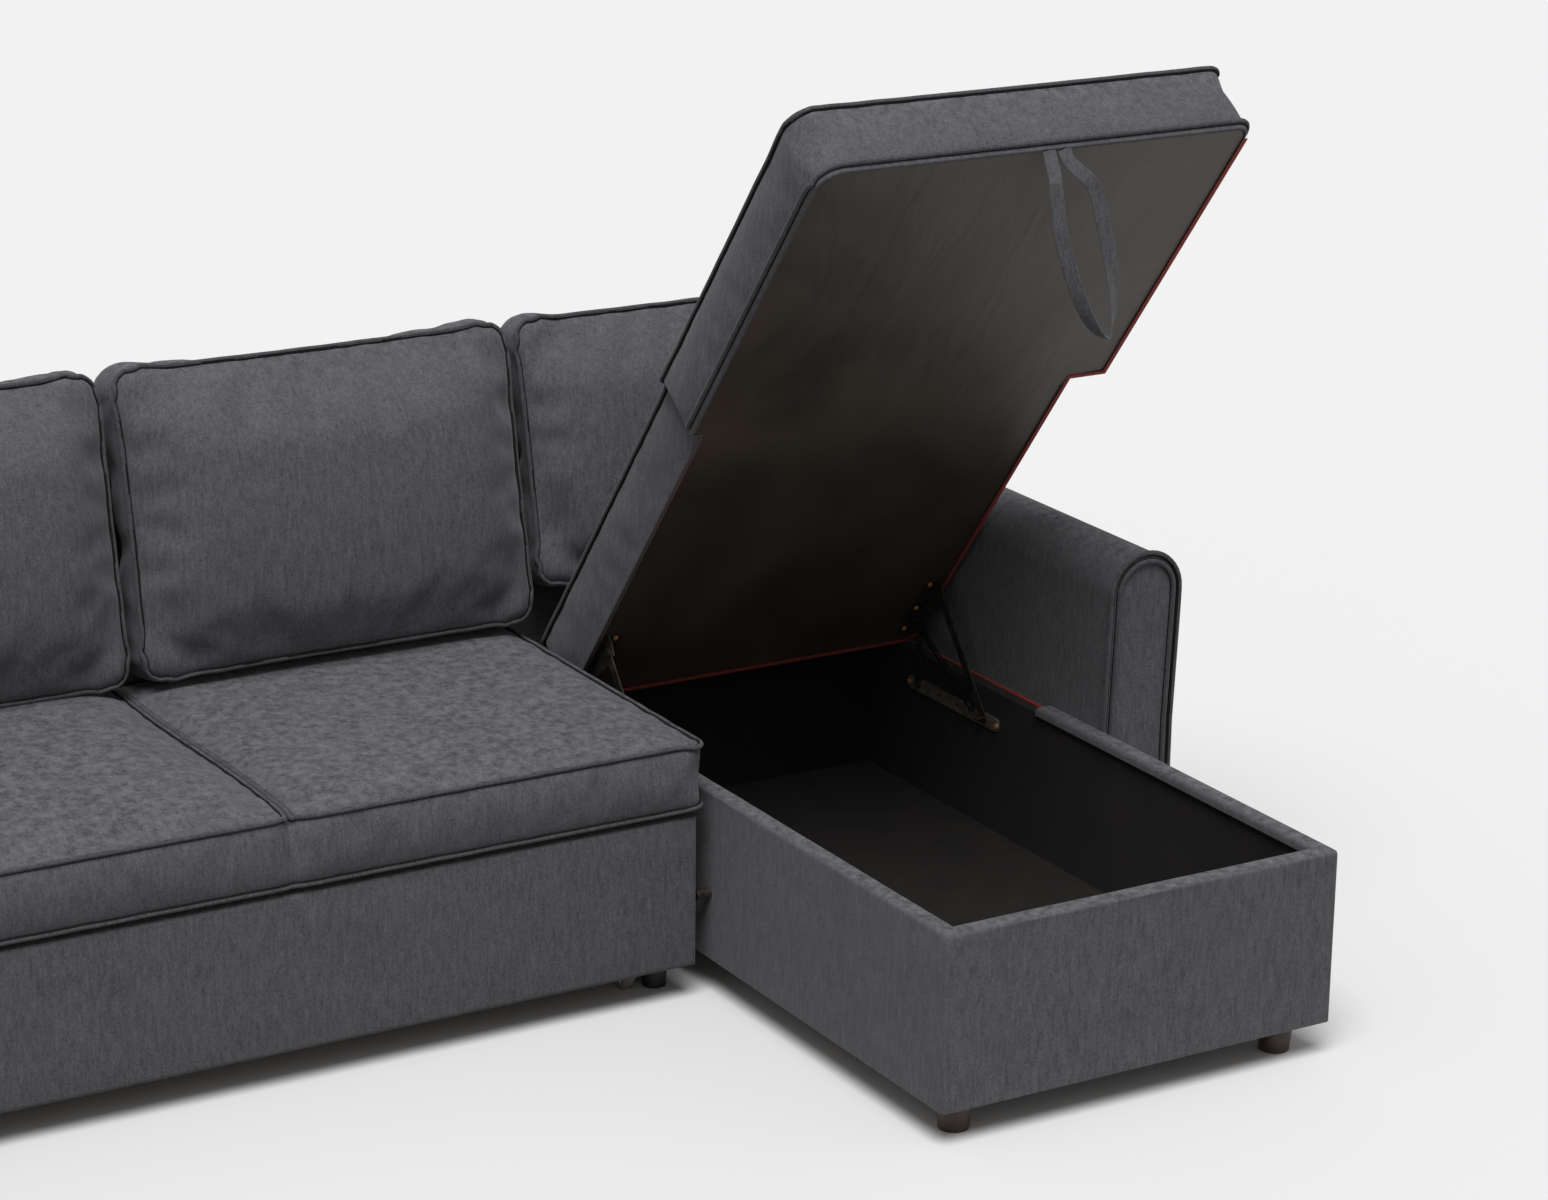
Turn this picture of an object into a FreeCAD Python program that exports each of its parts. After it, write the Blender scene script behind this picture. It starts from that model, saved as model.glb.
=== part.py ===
import FreeCAD, Part
import Sketcher
import math
import os
import re

V = FreeCAD.Vector

# Driving dimensions in millimetres, angles in degrees
# x runs to the right, y to the back, z up, all from the front left corner
# of the storage box; origin_x and origin_y move the whole sofa to its frame
DIMS = {
    # frame
    "origin_x": 371,
    "origin_y": -780,
    "mirror_line": -742,
    # storage box under the lift up seat
    "box_width": 733,
    "box_depth": 1372,
    "box_base": 57,
    "box_floor": 75,
    "bare_top": 331,
    "board_top": 339,
    "rim_top": 347,
    "rim_wide": 33,
    "rim_end": 800,
    "rim_round": 10,
    "corner_round": 8,
    "board": 18,
    "padding": 7.5,
    "lining": 1.5,
    "foot_inset": 62,
    "foot_top": 30,
    "foot_tip": 24,
    # lift up seat, measured along it from its rear lower edge
    "lid_tilt": 52.14,
    "lid_y": 1227.7,
    "lid_z": 340.5,
    "lid_length": 1370,
    "lid_left": 16,
    "lid_right": 724,
    "wing_left": -4,
    "wing_right": 795,
    "notch_left": 734,
    "notch_right": 752,
    "notch_lean": 28,
    "lid_thick": 128,
    "lid_lean": 9,
    "lid_crown": 13,
    "lid_inset": 8,
    "panel": 15,
    "link_groove": 9,
    "cloth": 1.5,
    "welt": 4.5,
    # lift hinge: fixed pins, moving pins, links
    "back_pin_y": 1174.5,
    "back_pin_z": 276.8,
    "front_pin_y": 962.6,
    "front_pin_z": 276.5,
    "short_link": 121.3,
    "long_link": 232.9,
    "short_angle": 91.86,
    "long_angle": 51.93,
    "lid_back_pin": 80.5,
    "lid_back_drop": 9.8,
    "lid_front_pin": 168.8,
    "lid_front_drop": 22.7,
    "link_wide": 18,
    "steel": 2.5,
    "gap": 0.7,
    "pin": 4,
    "pin_hole": 4.05,
    "spring_length": 240.9,
    "spring_angle": 30.31,
    "spring_offset": 15,
    "coil_wide": 11,
    "screw_head": 4.5,
    # seat of the sofa part
    "seat_left": -1470,
    "seat_right": -20,
    "seat_front": 680,
    "seat_back": 1400,
    "seat_low": 325,
    "seat_welt": 445,
    "seat_crown": 20,
    "seat_middle": -745,
    "seat_edge": 12,
    "frame_top": 370,
    "rail": 30,
    "side_board": 25,
    # pull-out bed below the seat
    "bed_front": 687,
    "bed_left": -1470,
    "bed_right": -32,
    "bed_low": 56,
    "bed_high": 316,
    "bed_panel": 33,
    "bed_rail_in": 560,
    "bed_rail_wide": 25,
    "bed_rail_low": 70,
    "bed_rail_high": 190,
    "bed_back": 1330,
    "slat": 18,
    "wheel": 22,
    "wheel_wide": 20,
    "axle": 4,
    "axle_hole": 4.05,
    # back
    "back_left": -1475,
    "back_right": 733,
    "back_foot": 1372,
    "back_face": 1406,
    "back_lean": 1432,
    "back_tip": 1502,
    "back_rear": 1560,
    "back_top": 800,
    "back_cover": 8,
    "cushion_wide": 715,
    "cushion_edge": 8.75,
    "cushion_high": 525,
    "cushion_thick": 110,
    "cushion_crown": 38,
    "cushion_lean": 12,
    # arms, outline of the right one
    "arm_front": 642,
    "arm_in": 733,
    "arm_out": 866,
    "arm_bulge": 875,
    "arm_peak": 826,
    "arm_top": 648,
    "arm_shell": 15,
    "arm_frame_top": 540,
    "arm_panel": 12,
    "arm_chamfer": 6,
    # pull strap
    "strap_wide": 25,
    "strap_thick": 3,
}

doc = FreeCAD.newDocument("storage_sofa")
sheet = doc.addObject("Spreadsheet::Sheet", "Dims")
for row, (alias, size) in enumerate(DIMS.items(), 1):
    sheet.set(f"A{row}", alias)
    sheet.set(f"B{row}", str(size))
    sheet.setAlias(f"B{row}", alias)
doc.recompute()

# Faces of the storage box walls, seen from inside
WALL_LEFT = "(padding + board + lining)"
WALL_RIGHT = "(box_width - padding - board - lining)"


def link(text):
    """Point the names of dimensions at the sheet."""
    return re.sub(r"[a-z_]+", lambda m: "Dims." + m.group(0) if m.group(0) in DIMS else m.group(0), str(text))


def size(text):
    """The present value of an expression, for shapes made from curves."""
    return float(sheet.evalExpression(link(text)))


def bind(thing, **places):
    """Bind properties of an object to expressions on the sheet."""
    for name, text in places.items():
        thing.setExpression(name.replace("__", "."), link(text))
    return thing


def put(thing, x="0", y="0", z="0", turn=None, way=1):
    """Place an object; turn is an angle about the x axis."""
    if turn is not None:
        thing.Placement = FreeCAD.Placement(V(), FreeCAD.Rotation(V(way, 0, 0), size(turn)))
        thing.setExpression("Placement.Rotation.Angle", link(turn))
    return bind(thing, Placement__Base__x=f"origin_x + {x}", Placement__Base__y=f"origin_y + {y}",
                Placement__Base__z=z)


def add(kind, name):
    thing = doc.addObject(kind, name)
    thing.Label = name
    return thing


def block(name, x, y, z):
    """A board or block between two x, two y and two z values."""
    thing = add("Part::Box", name)
    bind(thing, Length=f"({x[1]}) - ({x[0]})", Width=f"({y[1]}) - ({y[0]})", Height=f"({z[1]}) - ({z[0]})")
    return put(thing, x[0], y[0], z[0])


def rod(name, radius, length, x, y, z):
    """A round bar along the x axis, from x to the right."""
    thing = add("Part::Cylinder", name)
    thing.Placement.Rotation = FreeCAD.Rotation(V(0, 1, 0), 90)
    bind(thing, Radius=radius, Height=length)
    return put(thing, x, y, z)


def group(name, things):
    """Several equal pieces kept together."""
    thing = add("Part::Compound", name)
    thing.Links = things
    return thing


def body(name):
    return add("PartDesign::Body", name)


def sketch(owner, plane, level="0"):
    """A sketch on one of the body's own planes, lifted along its normal."""
    drawing = owner.newObject("Sketcher::SketchObject", owner.Name + "_sketch")
    side = [f for f in owner.Origin.OriginFeatures if f.Role == plane + "_Plane"]
    drawing.AttachmentSupport = [(side[0], "")]
    drawing.MapMode = "FlatFace"
    return bind(drawing, AttachmentOffset__Base__z=level)


def polygon(owner, plane, level, corners):
    """A closed outline whose corners are all bound to the sheet."""
    drawing = sketch(owner, plane, level)
    spots = [V(size(a), size(b), 0) for a, b in corners]
    count = len(spots)
    for i in range(count):
        drawing.addGeometry(Part.LineSegment(spots[i], spots[(i + 1) % count]), False)
    for i in range(count):
        drawing.addConstraint(Sketcher.Constraint("Coincident", i, 2, (i + 1) % count, 1))
    for i, (a, b) in enumerate(corners):
        for way, text, amount in (("DistanceX", a, spots[i].x), ("DistanceY", b, spots[i].y)):
            mark = drawing.addConstraint(Sketcher.Constraint(way, -1, 1, i, 1, amount))
            drawing.setExpression(f"Constraints[{mark}]", link(text))
    return drawing


def rectangle(owner, plane, level, a, b):
    return polygon(owner, plane, level, [(a[0], b[0]), (a[1], b[0]), (a[1], b[1]), (a[0], b[1])])


def pad(owner, drawing, length, back=False):
    feature = owner.newObject("PartDesign::Pad", owner.Name + "_pad")
    feature.Profile = drawing
    feature.Reversed = back
    return bind(feature, Length=length)


def pocket(owner, drawing, length, back=False):
    """Take material away; the volume is compared, because a wrong side cuts nothing."""
    doc.recompute()
    before = owner.Shape.Volume
    feature = owner.newObject("PartDesign::Pocket", owner.Name + "_pocket")
    feature.Profile = drawing
    feature.Reversed = back
    bind(feature, Length=length)
    doc.recompute()
    if owner.Shape.Volume > before - 1:
        raise ValueError("nothing was cut from " + owner.Label)
    return feature


def edges(shape, test):
    """Names of the edges whose middle and direction pass a test."""
    names = []
    for number, edge in enumerate(shape.Edges, 1):
        middle = edge.valueAt((edge.FirstParameter + edge.LastParameter) / 2)
        ends = edge.Vertexes[-1].Point - edge.Vertexes[0].Point
        if test(middle, ends):
            names.append(f"Edge{number}")
    return names


def soften(owner, kind, amount, test):
    """Round or bevel the edges of a body that pass a test."""
    doc.recompute()
    base = owner.Tip
    names = edges(base.Shape, test)
    if not names:
        raise ValueError("no edge to soften on " + owner.Label)
    feature = owner.newObject("PartDesign::" + kind, owner.Name + "_" + kind.lower())
    feature.Base = (base, names)
    bind(feature, **{"Radius" if kind == "Fillet" else "Size": amount})
    return feature


def solid(name, shape, x="0", y="0", z="0", turn=None, way=1):
    """A piece with a shape made from curves, placed afterwards."""
    thing = add("Part::Feature", name)
    thing.Shape = shape
    return put(thing, x, y, z, turn, way)


# Curves
def bow(start, corner, end):
    """The arc that leaves start and meets end along the lines to corner."""
    chord = (end - start).Length / 2
    leg = (corner - start).Length
    if chord > leg * 0.99999:
        return Part.LineSegment(start, end)
    share = chord / leg
    middle = (start + end) / 2
    return Part.Arc(start, middle + (corner - middle) * (share / (1 + share)), end)


def biarc(start, leave, end, arrive):
    """Two arcs in a row that join two points along two directions."""
    leave = V(leave).normalize()
    arrive = V(arrive).normalize()
    span = end - start
    both = leave + arrive
    factor = 2 * (1 - leave.dot(arrive))
    if factor < 1e-9:
        reach = span.dot(span) / (4 * span.dot(leave))
    else:
        reach = (math.sqrt(span.dot(both) ** 2 + factor * span.dot(span)) - span.dot(both)) / factor
    first = start + leave * reach
    second = end - arrive * reach
    join = (first + second) / 2
    return [bow(start, first, join), bow(join, second, end)]


def wire(curves):
    return Part.Wire([curve.toShape() for curve in curves])


def ring(corners, level):
    """A closed outline of straight sides and tangent arcs: x, y, radius for each corner."""
    curves = []
    last = None
    count = len(corners)
    starts = []
    for i, (x, y, radius) in enumerate(corners):
        here = V(x, y, level)
        before = (V(*corners[i - 1][:2], level) - here).normalize()
        after = (V(*corners[(i + 1) % count][:2], level) - here).normalize()
        half = before.getAngle(after) / 2
        cut = radius / math.tan(half)
        starts.append((here + before * cut, here, here + after * cut))
    for i in range(count):
        enter, corner, leave = starts[i]
        curves.append(bow(enter, corner, leave))
        curves.append(Part.LineSegment(leave, starts[(i + 1) % count][0]))
    return wire(curves)


def pillow(left, right, front, back, radius, swell, level):
    """A rectangle with round corners and sides that swell by a share of their length."""
    turn = 2 * math.atan(2 * swell)
    reach = radius / (math.cos(turn) + math.sin(turn))
    curves = []
    corners = [(right, front, 0), (right, back, 90), (left, back, 180), (left, front, 270)]
    spots = []
    for x, y, angle in corners:
        way = V(math.cos(math.radians(angle)), math.sin(math.radians(angle)), 0)
        side = V(-way.y, way.x, 0)
        enter = V(x, y, level) - way * radius
        leave = V(x, y, level) + side * radius
        corner = enter + way * reach * math.cos(turn) + side * reach * math.sin(turn)
        spots.append((enter, corner, leave, way, side))
    for i in range(4):
        enter, corner, leave, way, side = spots[i]
        curves.append(bow(enter, corner, leave))
        end = spots[(i + 1) % 4][0]
        if abs(swell) < 1e-6:
            curves.append(Part.LineSegment(leave, end))
        else:
            length = (end - leave).Length
            curves.append(Part.Arc(leave, (leave + end) / 2 + way * swell * length, end))
    return wire(curves)


def stack(outlines):
    """A solid between outlines laid one above the other."""
    return Part.makeLoft(outlines, True, True)


def piping(level):
    """A welt as steps of a stack: how far in, and at which level."""
    round_way = ((0, -1), (-0.95, -0.45), (-0.95, 0.45), (0, 1), (1, 0.3))
    return [(size("welt") * a, level + size("welt") * b) for a, b in round_way]


def tube(curves, radius):
    """A welt with eight sides along lines and tangent arcs."""
    path = wire(curves)
    edge = path.Edges[0]
    start = edge.valueAt(edge.FirstParameter)
    across = edge.tangentAt(edge.FirstParameter).cross(V(0, 1, 0))
    turns = [math.radians(22.5 + 45 * i) for i in range(9)]
    profile = Part.makePolygon([start + across * (radius * math.cos(t)) + V(0, radius * math.sin(t), 0)
                                for t in turns])
    return path.makePipeShell([profile], True, False)


# Storage box: five boards, cover with a padded rim, black lining
def side_wall(name, x):
    """A side board with a higher front part under the padded rim."""
    wall = body(name)
    outline = polygon(wall, "YZ", x, [
        ("padding + board", "box_base"), ("box_depth - padding - board", "box_base"),
        ("box_depth - padding - board", "bare_top"), ("rim_end", "bare_top"),
        ("rim_end", "board_top"), ("padding + board", "board_top")])
    pad(wall, outline, "board")
    return put(wall)


block("chaise_front_board", ("padding", "box_width - padding"), ("padding", "padding + board"),
      ("box_base", "board_top"))
side_wall("chaise_left_board", "padding")
side_wall("chaise_right_board", "box_width - padding - board")
block("chaise_rear_board", ("padding", "box_width - padding"),
      ("box_depth - padding - board", "box_depth - padding"), ("box_base", "bare_top"))
block("chaise_bottom_board", ("padding + board", "box_width - padding - board"),
      ("padding + board", "box_depth - padding - board"), ("box_base", "box_floor"))

cover = body("chaise_cover")
pad(cover, rectangle(cover, "XY", "box_base", ("0", "box_width"), ("0", "box_depth")), "bare_top - box_base")
pad(cover, rectangle(cover, "XY", "bare_top", ("0", "box_width"), ("0", "rim_end")), "rim_top - bare_top")
pocket(cover, rectangle(cover, "XY", "rim_top", ("rim_wide", "box_width - rim_wide"),
                        ("rim_wide", "box_depth - padding")), "rim_top - bare_top")
soften(cover, "Fillet", "corner_round", lambda m, d: abs(d.z) > 200 and m.y < 1)
soften(cover, "Fillet", "rim_round", lambda m, d: abs(m.z - size("rim_top")) < 0.01)
pocket(cover, rectangle(cover, "XY", "bare_top", ("padding", "box_width - padding"),
                        ("padding", "box_depth - padding")), "bare_top - box_base")
pocket(cover, polygon(cover, "XY", "board_top", [
    ("padding", "padding"), ("box_width - padding", "padding"), ("box_width - padding", "rim_end"),
    ("box_width - padding - board", "rim_end"), ("box_width - padding - board", "padding + board"),
    ("padding + board", "padding + board"), ("padding + board", "rim_end"), ("padding", "rim_end")]),
    "board_top - bare_top")
put(cover)

liner = body("chaise_lining")
inner = ("padding + board", "box_width - padding - board")
depth = ("padding + board", "box_depth - padding - board")
pad(liner, rectangle(liner, "XY", "box_floor", inner, depth), "bare_top - box_floor")
pad(liner, rectangle(liner, "XY", "bare_top", ("padding", "box_width - padding"),
                     ("rim_end", "box_depth - padding")), "lining")
pocket(liner, rectangle(liner, "XY", "bare_top + lining", (WALL_LEFT, WALL_RIGHT),
                        ("padding + board + lining", "box_depth - padding - board - lining")),
       "bare_top - box_floor")
put(liner)


def foot(name, top, tip, x, y, height="box_base"):
    """A tapered round foot."""
    thing = add("Part::Cone", name)
    bind(thing, Radius1=tip, Radius2=top, Height=height)
    return put(thing, x, y, "0")


far = ("foot_inset", "box_width - foot_inset")
group("chaise_front_feet", [foot(f"chaise_foot_{i}", "foot_top", "foot_tip", far[i], "foot_inset")
                            for i in range(2)])
group("chaise_rear_feet", [foot(f"chaise_heel_{i}", "foot_top", "foot_tip", far[i], "box_depth - foot_inset")
                           for i in range(2)])

# Lift up seat: T-shaped panel, cushion with welts, binding, dust cover
LID = {"y": "lid_y", "z": "lid_z", "turn": "lid_tilt", "way": -1}


def lid_outline(inset, level, swell=0.0, edge=0.0):
    """The T shape of the seat, with y running forward as minus the distance from its rear edge."""
    a = inset
    share = level / size("lid_thick")
    left, right = size("lid_left") + a, size("lid_right") - a
    far_left, far_right = size("wing_left") + a - edge, size("wing_right") - a
    notch, step = size("notch_left") + a, size("notch_right") + size("notch_lean") * share + a
    front = size("lid_length") - a + edge + size("lid_lean") * share + swell
    return ring([(left, -a, 18), (right, -a, 18), (right, -step, 5), (far_right, -step, 9),
                 (far_right, -front, 26), (far_left, -front, 42), (far_left, -notch, 7),
                 (left, -notch, 5)][::-1], level)


height = size("lid_thick")
low_welt = [lid_outline(0, level, 0, -inset) for inset, level in piping(size("welt"))[:4]]
top_welt = [lid_outline(inset, level) for inset, level in piping(height)]
dome = [lid_outline(inset, height + size("lid_crown") * rise) for inset, rise in
        ((14, 0.4), (36, 0.72), (76, 0.94), (130, 1))]
cushion = stack(low_welt + [lid_outline(2.5, height / 2, 1)] + top_welt + dome)
hollow = Part.Face(lid_outline(size("lid_inset"), 0)).extrude(V(0, 0, size("panel + cloth")))
solid("lid_cushion", cushion.cut(hollow), **LID)
# the dust cover and the board have a groove over each rear link
flat = Part.Face(lid_outline(size("lid_inset"), 0))
groove = size("link_groove")
grooves = [Part.makeBox(6, 110, groove, V(x, -150, 0)) for x in
           (size(f"{WALL_LEFT} + 0.3"), size(f"{WALL_RIGHT} - 6.3"))]
solid("lid_dust_cover", flat.extrude(V(0, 0, size("cloth"))).cut(grooves), **LID)
board = flat.extrude(V(0, 0, size("panel")))
board.translate(V(0, 0, size("cloth")))
solid("lid_board", board.cut(grooves), **LID)

binding = body("lid_edge_binding")
strip = polygon(binding, "XY", "0", [
    ("wing_right", "30 - lid_length"), ("wing_right", "-notch_right"), ("lid_right", "-notch_right"),
    ("lid_right", "-16"), ("lid_right - 16", "0"), ("lid_left + 16", "0"), ("lid_left", "-16"),
    ("lid_left", "-notch_left"), ("lid_left + lid_inset", "-notch_left"), ("lid_left + lid_inset", "-16"),
    ("lid_left + 16", "-lid_inset"), ("lid_right - 16", "-lid_inset"), ("lid_right - lid_inset", "-16"),
    ("lid_right - lid_inset", "-notch_right - lid_inset"), ("wing_right - lid_inset", "-notch_right - lid_inset"),
    ("wing_right - lid_inset", "30 - lid_length")])
pad(binding, strip, "cloth", True)
put(binding, **LID)

# Lift hinges: a flat bar on each wall, two links, an angle plate under the seat


def stadium(owner, level, length, holes=(), wide="link_wide"):
    """A flat bar with round ends and round holes, along y from its first centre."""
    drawing = sketch(owner, "YZ", level)
    span, half, bore = size(length), size(wide) / 2, size("pin_hole")
    up = V(0, 0, 1)
    drawing.addGeometry(Part.LineSegment(V(0, half, 0), V(span, half, 0)))
    drawing.addGeometry(Part.ArcOfCircle(Part.Circle(V(span, 0, 0), up, half), -math.pi / 2, math.pi / 2))
    drawing.addGeometry(Part.LineSegment(V(span, -half, 0), V(0, -half, 0)))
    drawing.addGeometry(Part.ArcOfCircle(Part.Circle(V(0, 0, 0), up, half), math.pi / 2, 3 * math.pi / 2))
    for pair in ((0, 2, 1, 2), (1, 1, 2, 1), (2, 2, 3, 2), (3, 1, 0, 1)):
        drawing.addConstraint(Sketcher.Constraint("Tangent", *pair))
    drawing.addConstraint(Sketcher.Constraint("Coincident", 3, 3, -1, 1))
    drawing.addConstraint(Sketcher.Constraint("PointOnObject", 1, 3, -1))
    for kind, args, text in (("DistanceX", (3, 3, 1, 3, span), length), ("Radius", (3, half), f"{wide} / 2")):
        mark = drawing.addConstraint(Sketcher.Constraint(kind, *args))
        drawing.setExpression(f"Constraints[{mark}]", link(text))
    for place in holes:
        at = span if place else 0
        circle = drawing.addGeometry(Part.Circle(V(at, 0, 0), up, bore))
        drawing.addConstraint(Sketcher.Constraint("Coincident", circle, 3, 1 if place else 3, 3))
        mark = drawing.addConstraint(Sketcher.Constraint("Radius", circle, bore))
        drawing.setExpression(f"Constraints[{mark}]", link("pin_hole"))
    return drawing


def from_wall(side, near, far_end):
    """The lower x and the length between two distances from a wall's inner face."""
    start = f"{WALL_LEFT} + {near}" if side == "left" else f"{WALL_RIGHT} - ({far_end})"
    return start, f"({far_end}) - ({near})"


SIDES = ("left", "right")
LINK_NEAR, LINK_FAR = "(steel + gap)", "(steel * 2 + gap)"
FLANGE_NEAR, FLANGE_FAR = "(steel * 2 + gap * 2)", "(steel * 3 + gap * 2)"
parts = {name: [] for name in ("wall_plates", "wall_pins", "wall_screws", "front_links", "rear_links",
                               "rear_pins", "lid_plates", "lid_pins", "lid_screws", "springs")}
for side in SIDES:
    start, length = from_wall(side, "0", "steel")
    bar = body(f"wall_bar_{side}")
    pad(bar, stadium(bar, start, "back_pin_y - front_pin_y + 58", wide="25"), "steel")
    for place in (0, 1):
        slot = rectangle(bar, "YZ", start, (f"{118 + 56 * place}", f"{130 + 56 * place}"), ("-2.5", "2.5"))
        pocket(bar, slot, "steel", True)
    parts["wall_plates"].append(put(bar, "0", "front_pin_y - 34", "front_pin_z - 3"))
    for place, at in (("back", "back_pin"), ("front", "front_pin")):
        start, length = from_wall(side, "steel", f"{FLANGE_NEAR} - 0.5")
        parts["wall_pins"].append(rod(f"wall_pin_{place}_{side}", "pin", length, start, at + "_y", at + "_z"))
        start, length = from_wall(side, f"{FLANGE_NEAR} - 0.5", f"{FLANGE_NEAR} + 1.5")
        parts["wall_pins"].append(rod(f"wall_pin_head_{place}_{side}", "pin + 2.5", length, start,
                                      at + "_y", at + "_z"))
    start, length = from_wall(side, f"{FLANGE_NEAR} + 1.5", "spring_offset + 5")
    parts["wall_pins"].append(rod(f"spring_post_{side}", "pin - 1", length, start, "front_pin_y", "front_pin_z"))
    for number, at in enumerate(("front_pin_y - 40", "back_pin_y + 30")):
        start, length = from_wall(side, "steel", "steel + 2.5")
        parts["wall_screws"].append(rod(f"wall_screw_{number}_{side}", "screw_head", length, start, at,
                                        "front_pin_z - 3.5"))
        start, length = from_wall(side, "-12", "steel")
        parts["wall_screws"].append(rod(f"wall_shank_{number}_{side}", "1.9", length, start, at,
                                        "front_pin_z - 3.5"))
    start, length = from_wall(side, LINK_NEAR, LINK_FAR)
    bar = body(f"long_link_{side}")
    pad(bar, stadium(bar, start, "long_link", (0, 1)), "steel")
    parts["front_links"].append(put(bar, "0", "front_pin_y", "front_pin_z", "long_angle"))
    bar = body(f"short_link_{side}")
    pad(bar, stadium(bar, start, "short_link", (0,)), "steel")
    parts["rear_links"].append(put(bar, "0", "back_pin_y", "back_pin_z", "short_angle"))
    reach = "back_pin_y + short_link * cos(short_angle * 1 deg)"
    rise = "back_pin_z + short_link * sin(short_angle * 1 deg)"
    start, length = from_wall(side, LINK_FAR, f"{FLANGE_NEAR} - 0.2")
    parts["rear_pins"].append(rod(f"rear_pin_{side}", "pin", length, start, reach, rise))
    start, length = from_wall(side, "1.2", LINK_NEAR)
    parts["rear_pins"].append(rod(f"rear_pin_head_{side}", "pin + 2.5", length, start, reach, rise))

    start, length = from_wall(side, FLANGE_NEAR, FLANGE_FAR)
    angle = body(f"lid_angle_{side}")
    web = polygon(angle, "YZ", start, [
        ("-38", "0"), ("-38", "-9"), ("-66", "-lid_back_drop - 12"), ("-98", "-lid_back_drop - 12"),
        ("-150", "-lid_front_drop - 12"), ("-lid_front_pin - 9", "-lid_front_drop - 12"),
        ("-lid_front_pin - 22", "-12"), ("-lid_front_pin - 22", "0")])
    pad(angle, web, "steel")
    sole = (f"{WALL_LEFT} + {FLANGE_NEAR}", f"{WALL_LEFT} + {FLANGE_NEAR} + 27")
    if side == "right":
        sole = (f"{WALL_RIGHT} - {FLANGE_NEAR} - 27", f"{WALL_RIGHT} - {FLANGE_NEAR}")
    pad(angle, rectangle(angle, "XY", "0", sole, ("-lid_front_pin - 22", "-38")), "steel", True)
    parts["lid_plates"].append(put(angle, **LID))

    def on_lid(name, radius, near, far_end, along, drop):
        """A round pin under the seat, along x, in the seat's own frame."""
        start, length = from_wall(side, near, far_end)
        thing = add("Part::Cylinder", name)
        bind(thing, Radius=radius, Height=length)
        thing.Placement.Rotation = FreeCAD.Rotation(V(0, 1, 0), 90)
        return put(thing, start, f"lid_y - cos(lid_tilt * 1 deg) * {along} - sin(lid_tilt * 1 deg) * {drop}",
                   f"lid_z + sin(lid_tilt * 1 deg) * {along} - cos(lid_tilt * 1 deg) * {drop}")

    parts["lid_pins"] += [
        on_lid(f"lid_pin_{side}", "pin", LINK_NEAR, FLANGE_NEAR, "lid_front_pin", "lid_front_drop"),
        on_lid(f"lid_pin_head_{side}", "pin + 2.5", "1.2", LINK_NEAR + " - 0.2", "lid_front_pin", "lid_front_drop"),
        on_lid(f"lid_pin_neck_{side}", "pin", LINK_NEAR + " - 0.2", LINK_NEAR, "lid_front_pin", "lid_front_drop"),
        on_lid(f"lid_post_{side}", "pin - 1", FLANGE_FAR, "spring_offset + 5", "lid_back_pin", "lid_back_drop")]
    for number, along in enumerate((50, 112, 182)):
        start = f"{WALL_LEFT} + {FLANGE_NEAR} + 17" if side == "left" else f"{WALL_RIGHT} - {FLANGE_NEAR} - 17"
        for kind, radius, low, tall in (("screw", "screw_head", "-steel * 2", "steel"),
                                        ("shank", "1.9", "-steel", "steel + cloth + 9")):
            thing = add("Part::Cylinder", f"lid_{kind}_{number}_{side}")
            bind(thing, Radius=radius, Height=tall)
            put(thing, start, f"lid_y - cos(lid_tilt * 1 deg) * {along} + sin(lid_tilt * 1 deg) * ({low})",
                f"lid_z + sin(lid_tilt * 1 deg) * {along} + cos(lid_tilt * 1 deg) * ({low})", "lid_tilt", -1)
            parts["lid_screws"].append(thing)

    # tension spring between the long link's fixed pin and the short link's moving pin
    middle = size(from_wall(side, "spring_offset", "spring_offset")[0])
    long = size("spring_length")
    wide = size("coil_wide") / 2
    eyes = [Part.makeCylinder(5, 3, V(middle - 1.5, at, 0), V(1, 0, 0)).cut(
        Part.makeCylinder(3.05, 3, V(middle - 1.5, at, 0), V(1, 0, 0))) for at in (0, long)]
    hooks = [Part.makeCylinder(1.1, 19, V(middle, at, 0), V(0, 1, 0)) for at in (4.5, long - 23.5)]
    coil = Part.makeCylinder(wide, long - 44, V(middle, 22, 0), V(0, 1, 0))
    spring = coil.fuse(eyes + hooks)
    parts["springs"].append(solid(f"spring_{side}", spring, "0", "front_pin_y", "front_pin_z", "spring_angle"))

for name, things in parts.items():
    group("hinge_" + name, things)

# Pull strap: a band whose two ends are sewn side by side to the front lower edge
turns = [(418 - 14, 0, 0), (412 - 4, 60, 2), (418, 120, 12), (436, 180, 30), (462, 240, 55), (486, 280, 75),
         (508, 300, 90), (520, 284, 105), (523, 240, 125), (514, 180, 150), (498, 120, 168), (478, 60, 178),
         (418 + 14, 0, 180)]
wide, thick = size("strap_wide") / 2, size("strap_thick") / 2
frames = []
for x, drop, twist in turns:
    across = V(math.cos(math.radians(twist)), math.sin(math.radians(twist)), 0)
    frames.append((V(x, 0, -drop), across))
rings = []
for i, (spot, across) in enumerate(frames):
    before = frames[max(i - 1, 0)][0]
    after = frames[min(i + 1, len(frames) - 1)][0]
    along = (after - before).normalize()
    if i in (0, len(frames) - 1):
        along = V(0, 0, -1 if i == 0 else 1)
    side = (across - along * across.dot(along)).normalize()
    out = along.cross(side).normalize()
    rings.append([spot + side * wide * a + out * thick * b for a, b in ((1, 1), (-1, 1), (-1, -1), (1, -1))])
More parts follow.
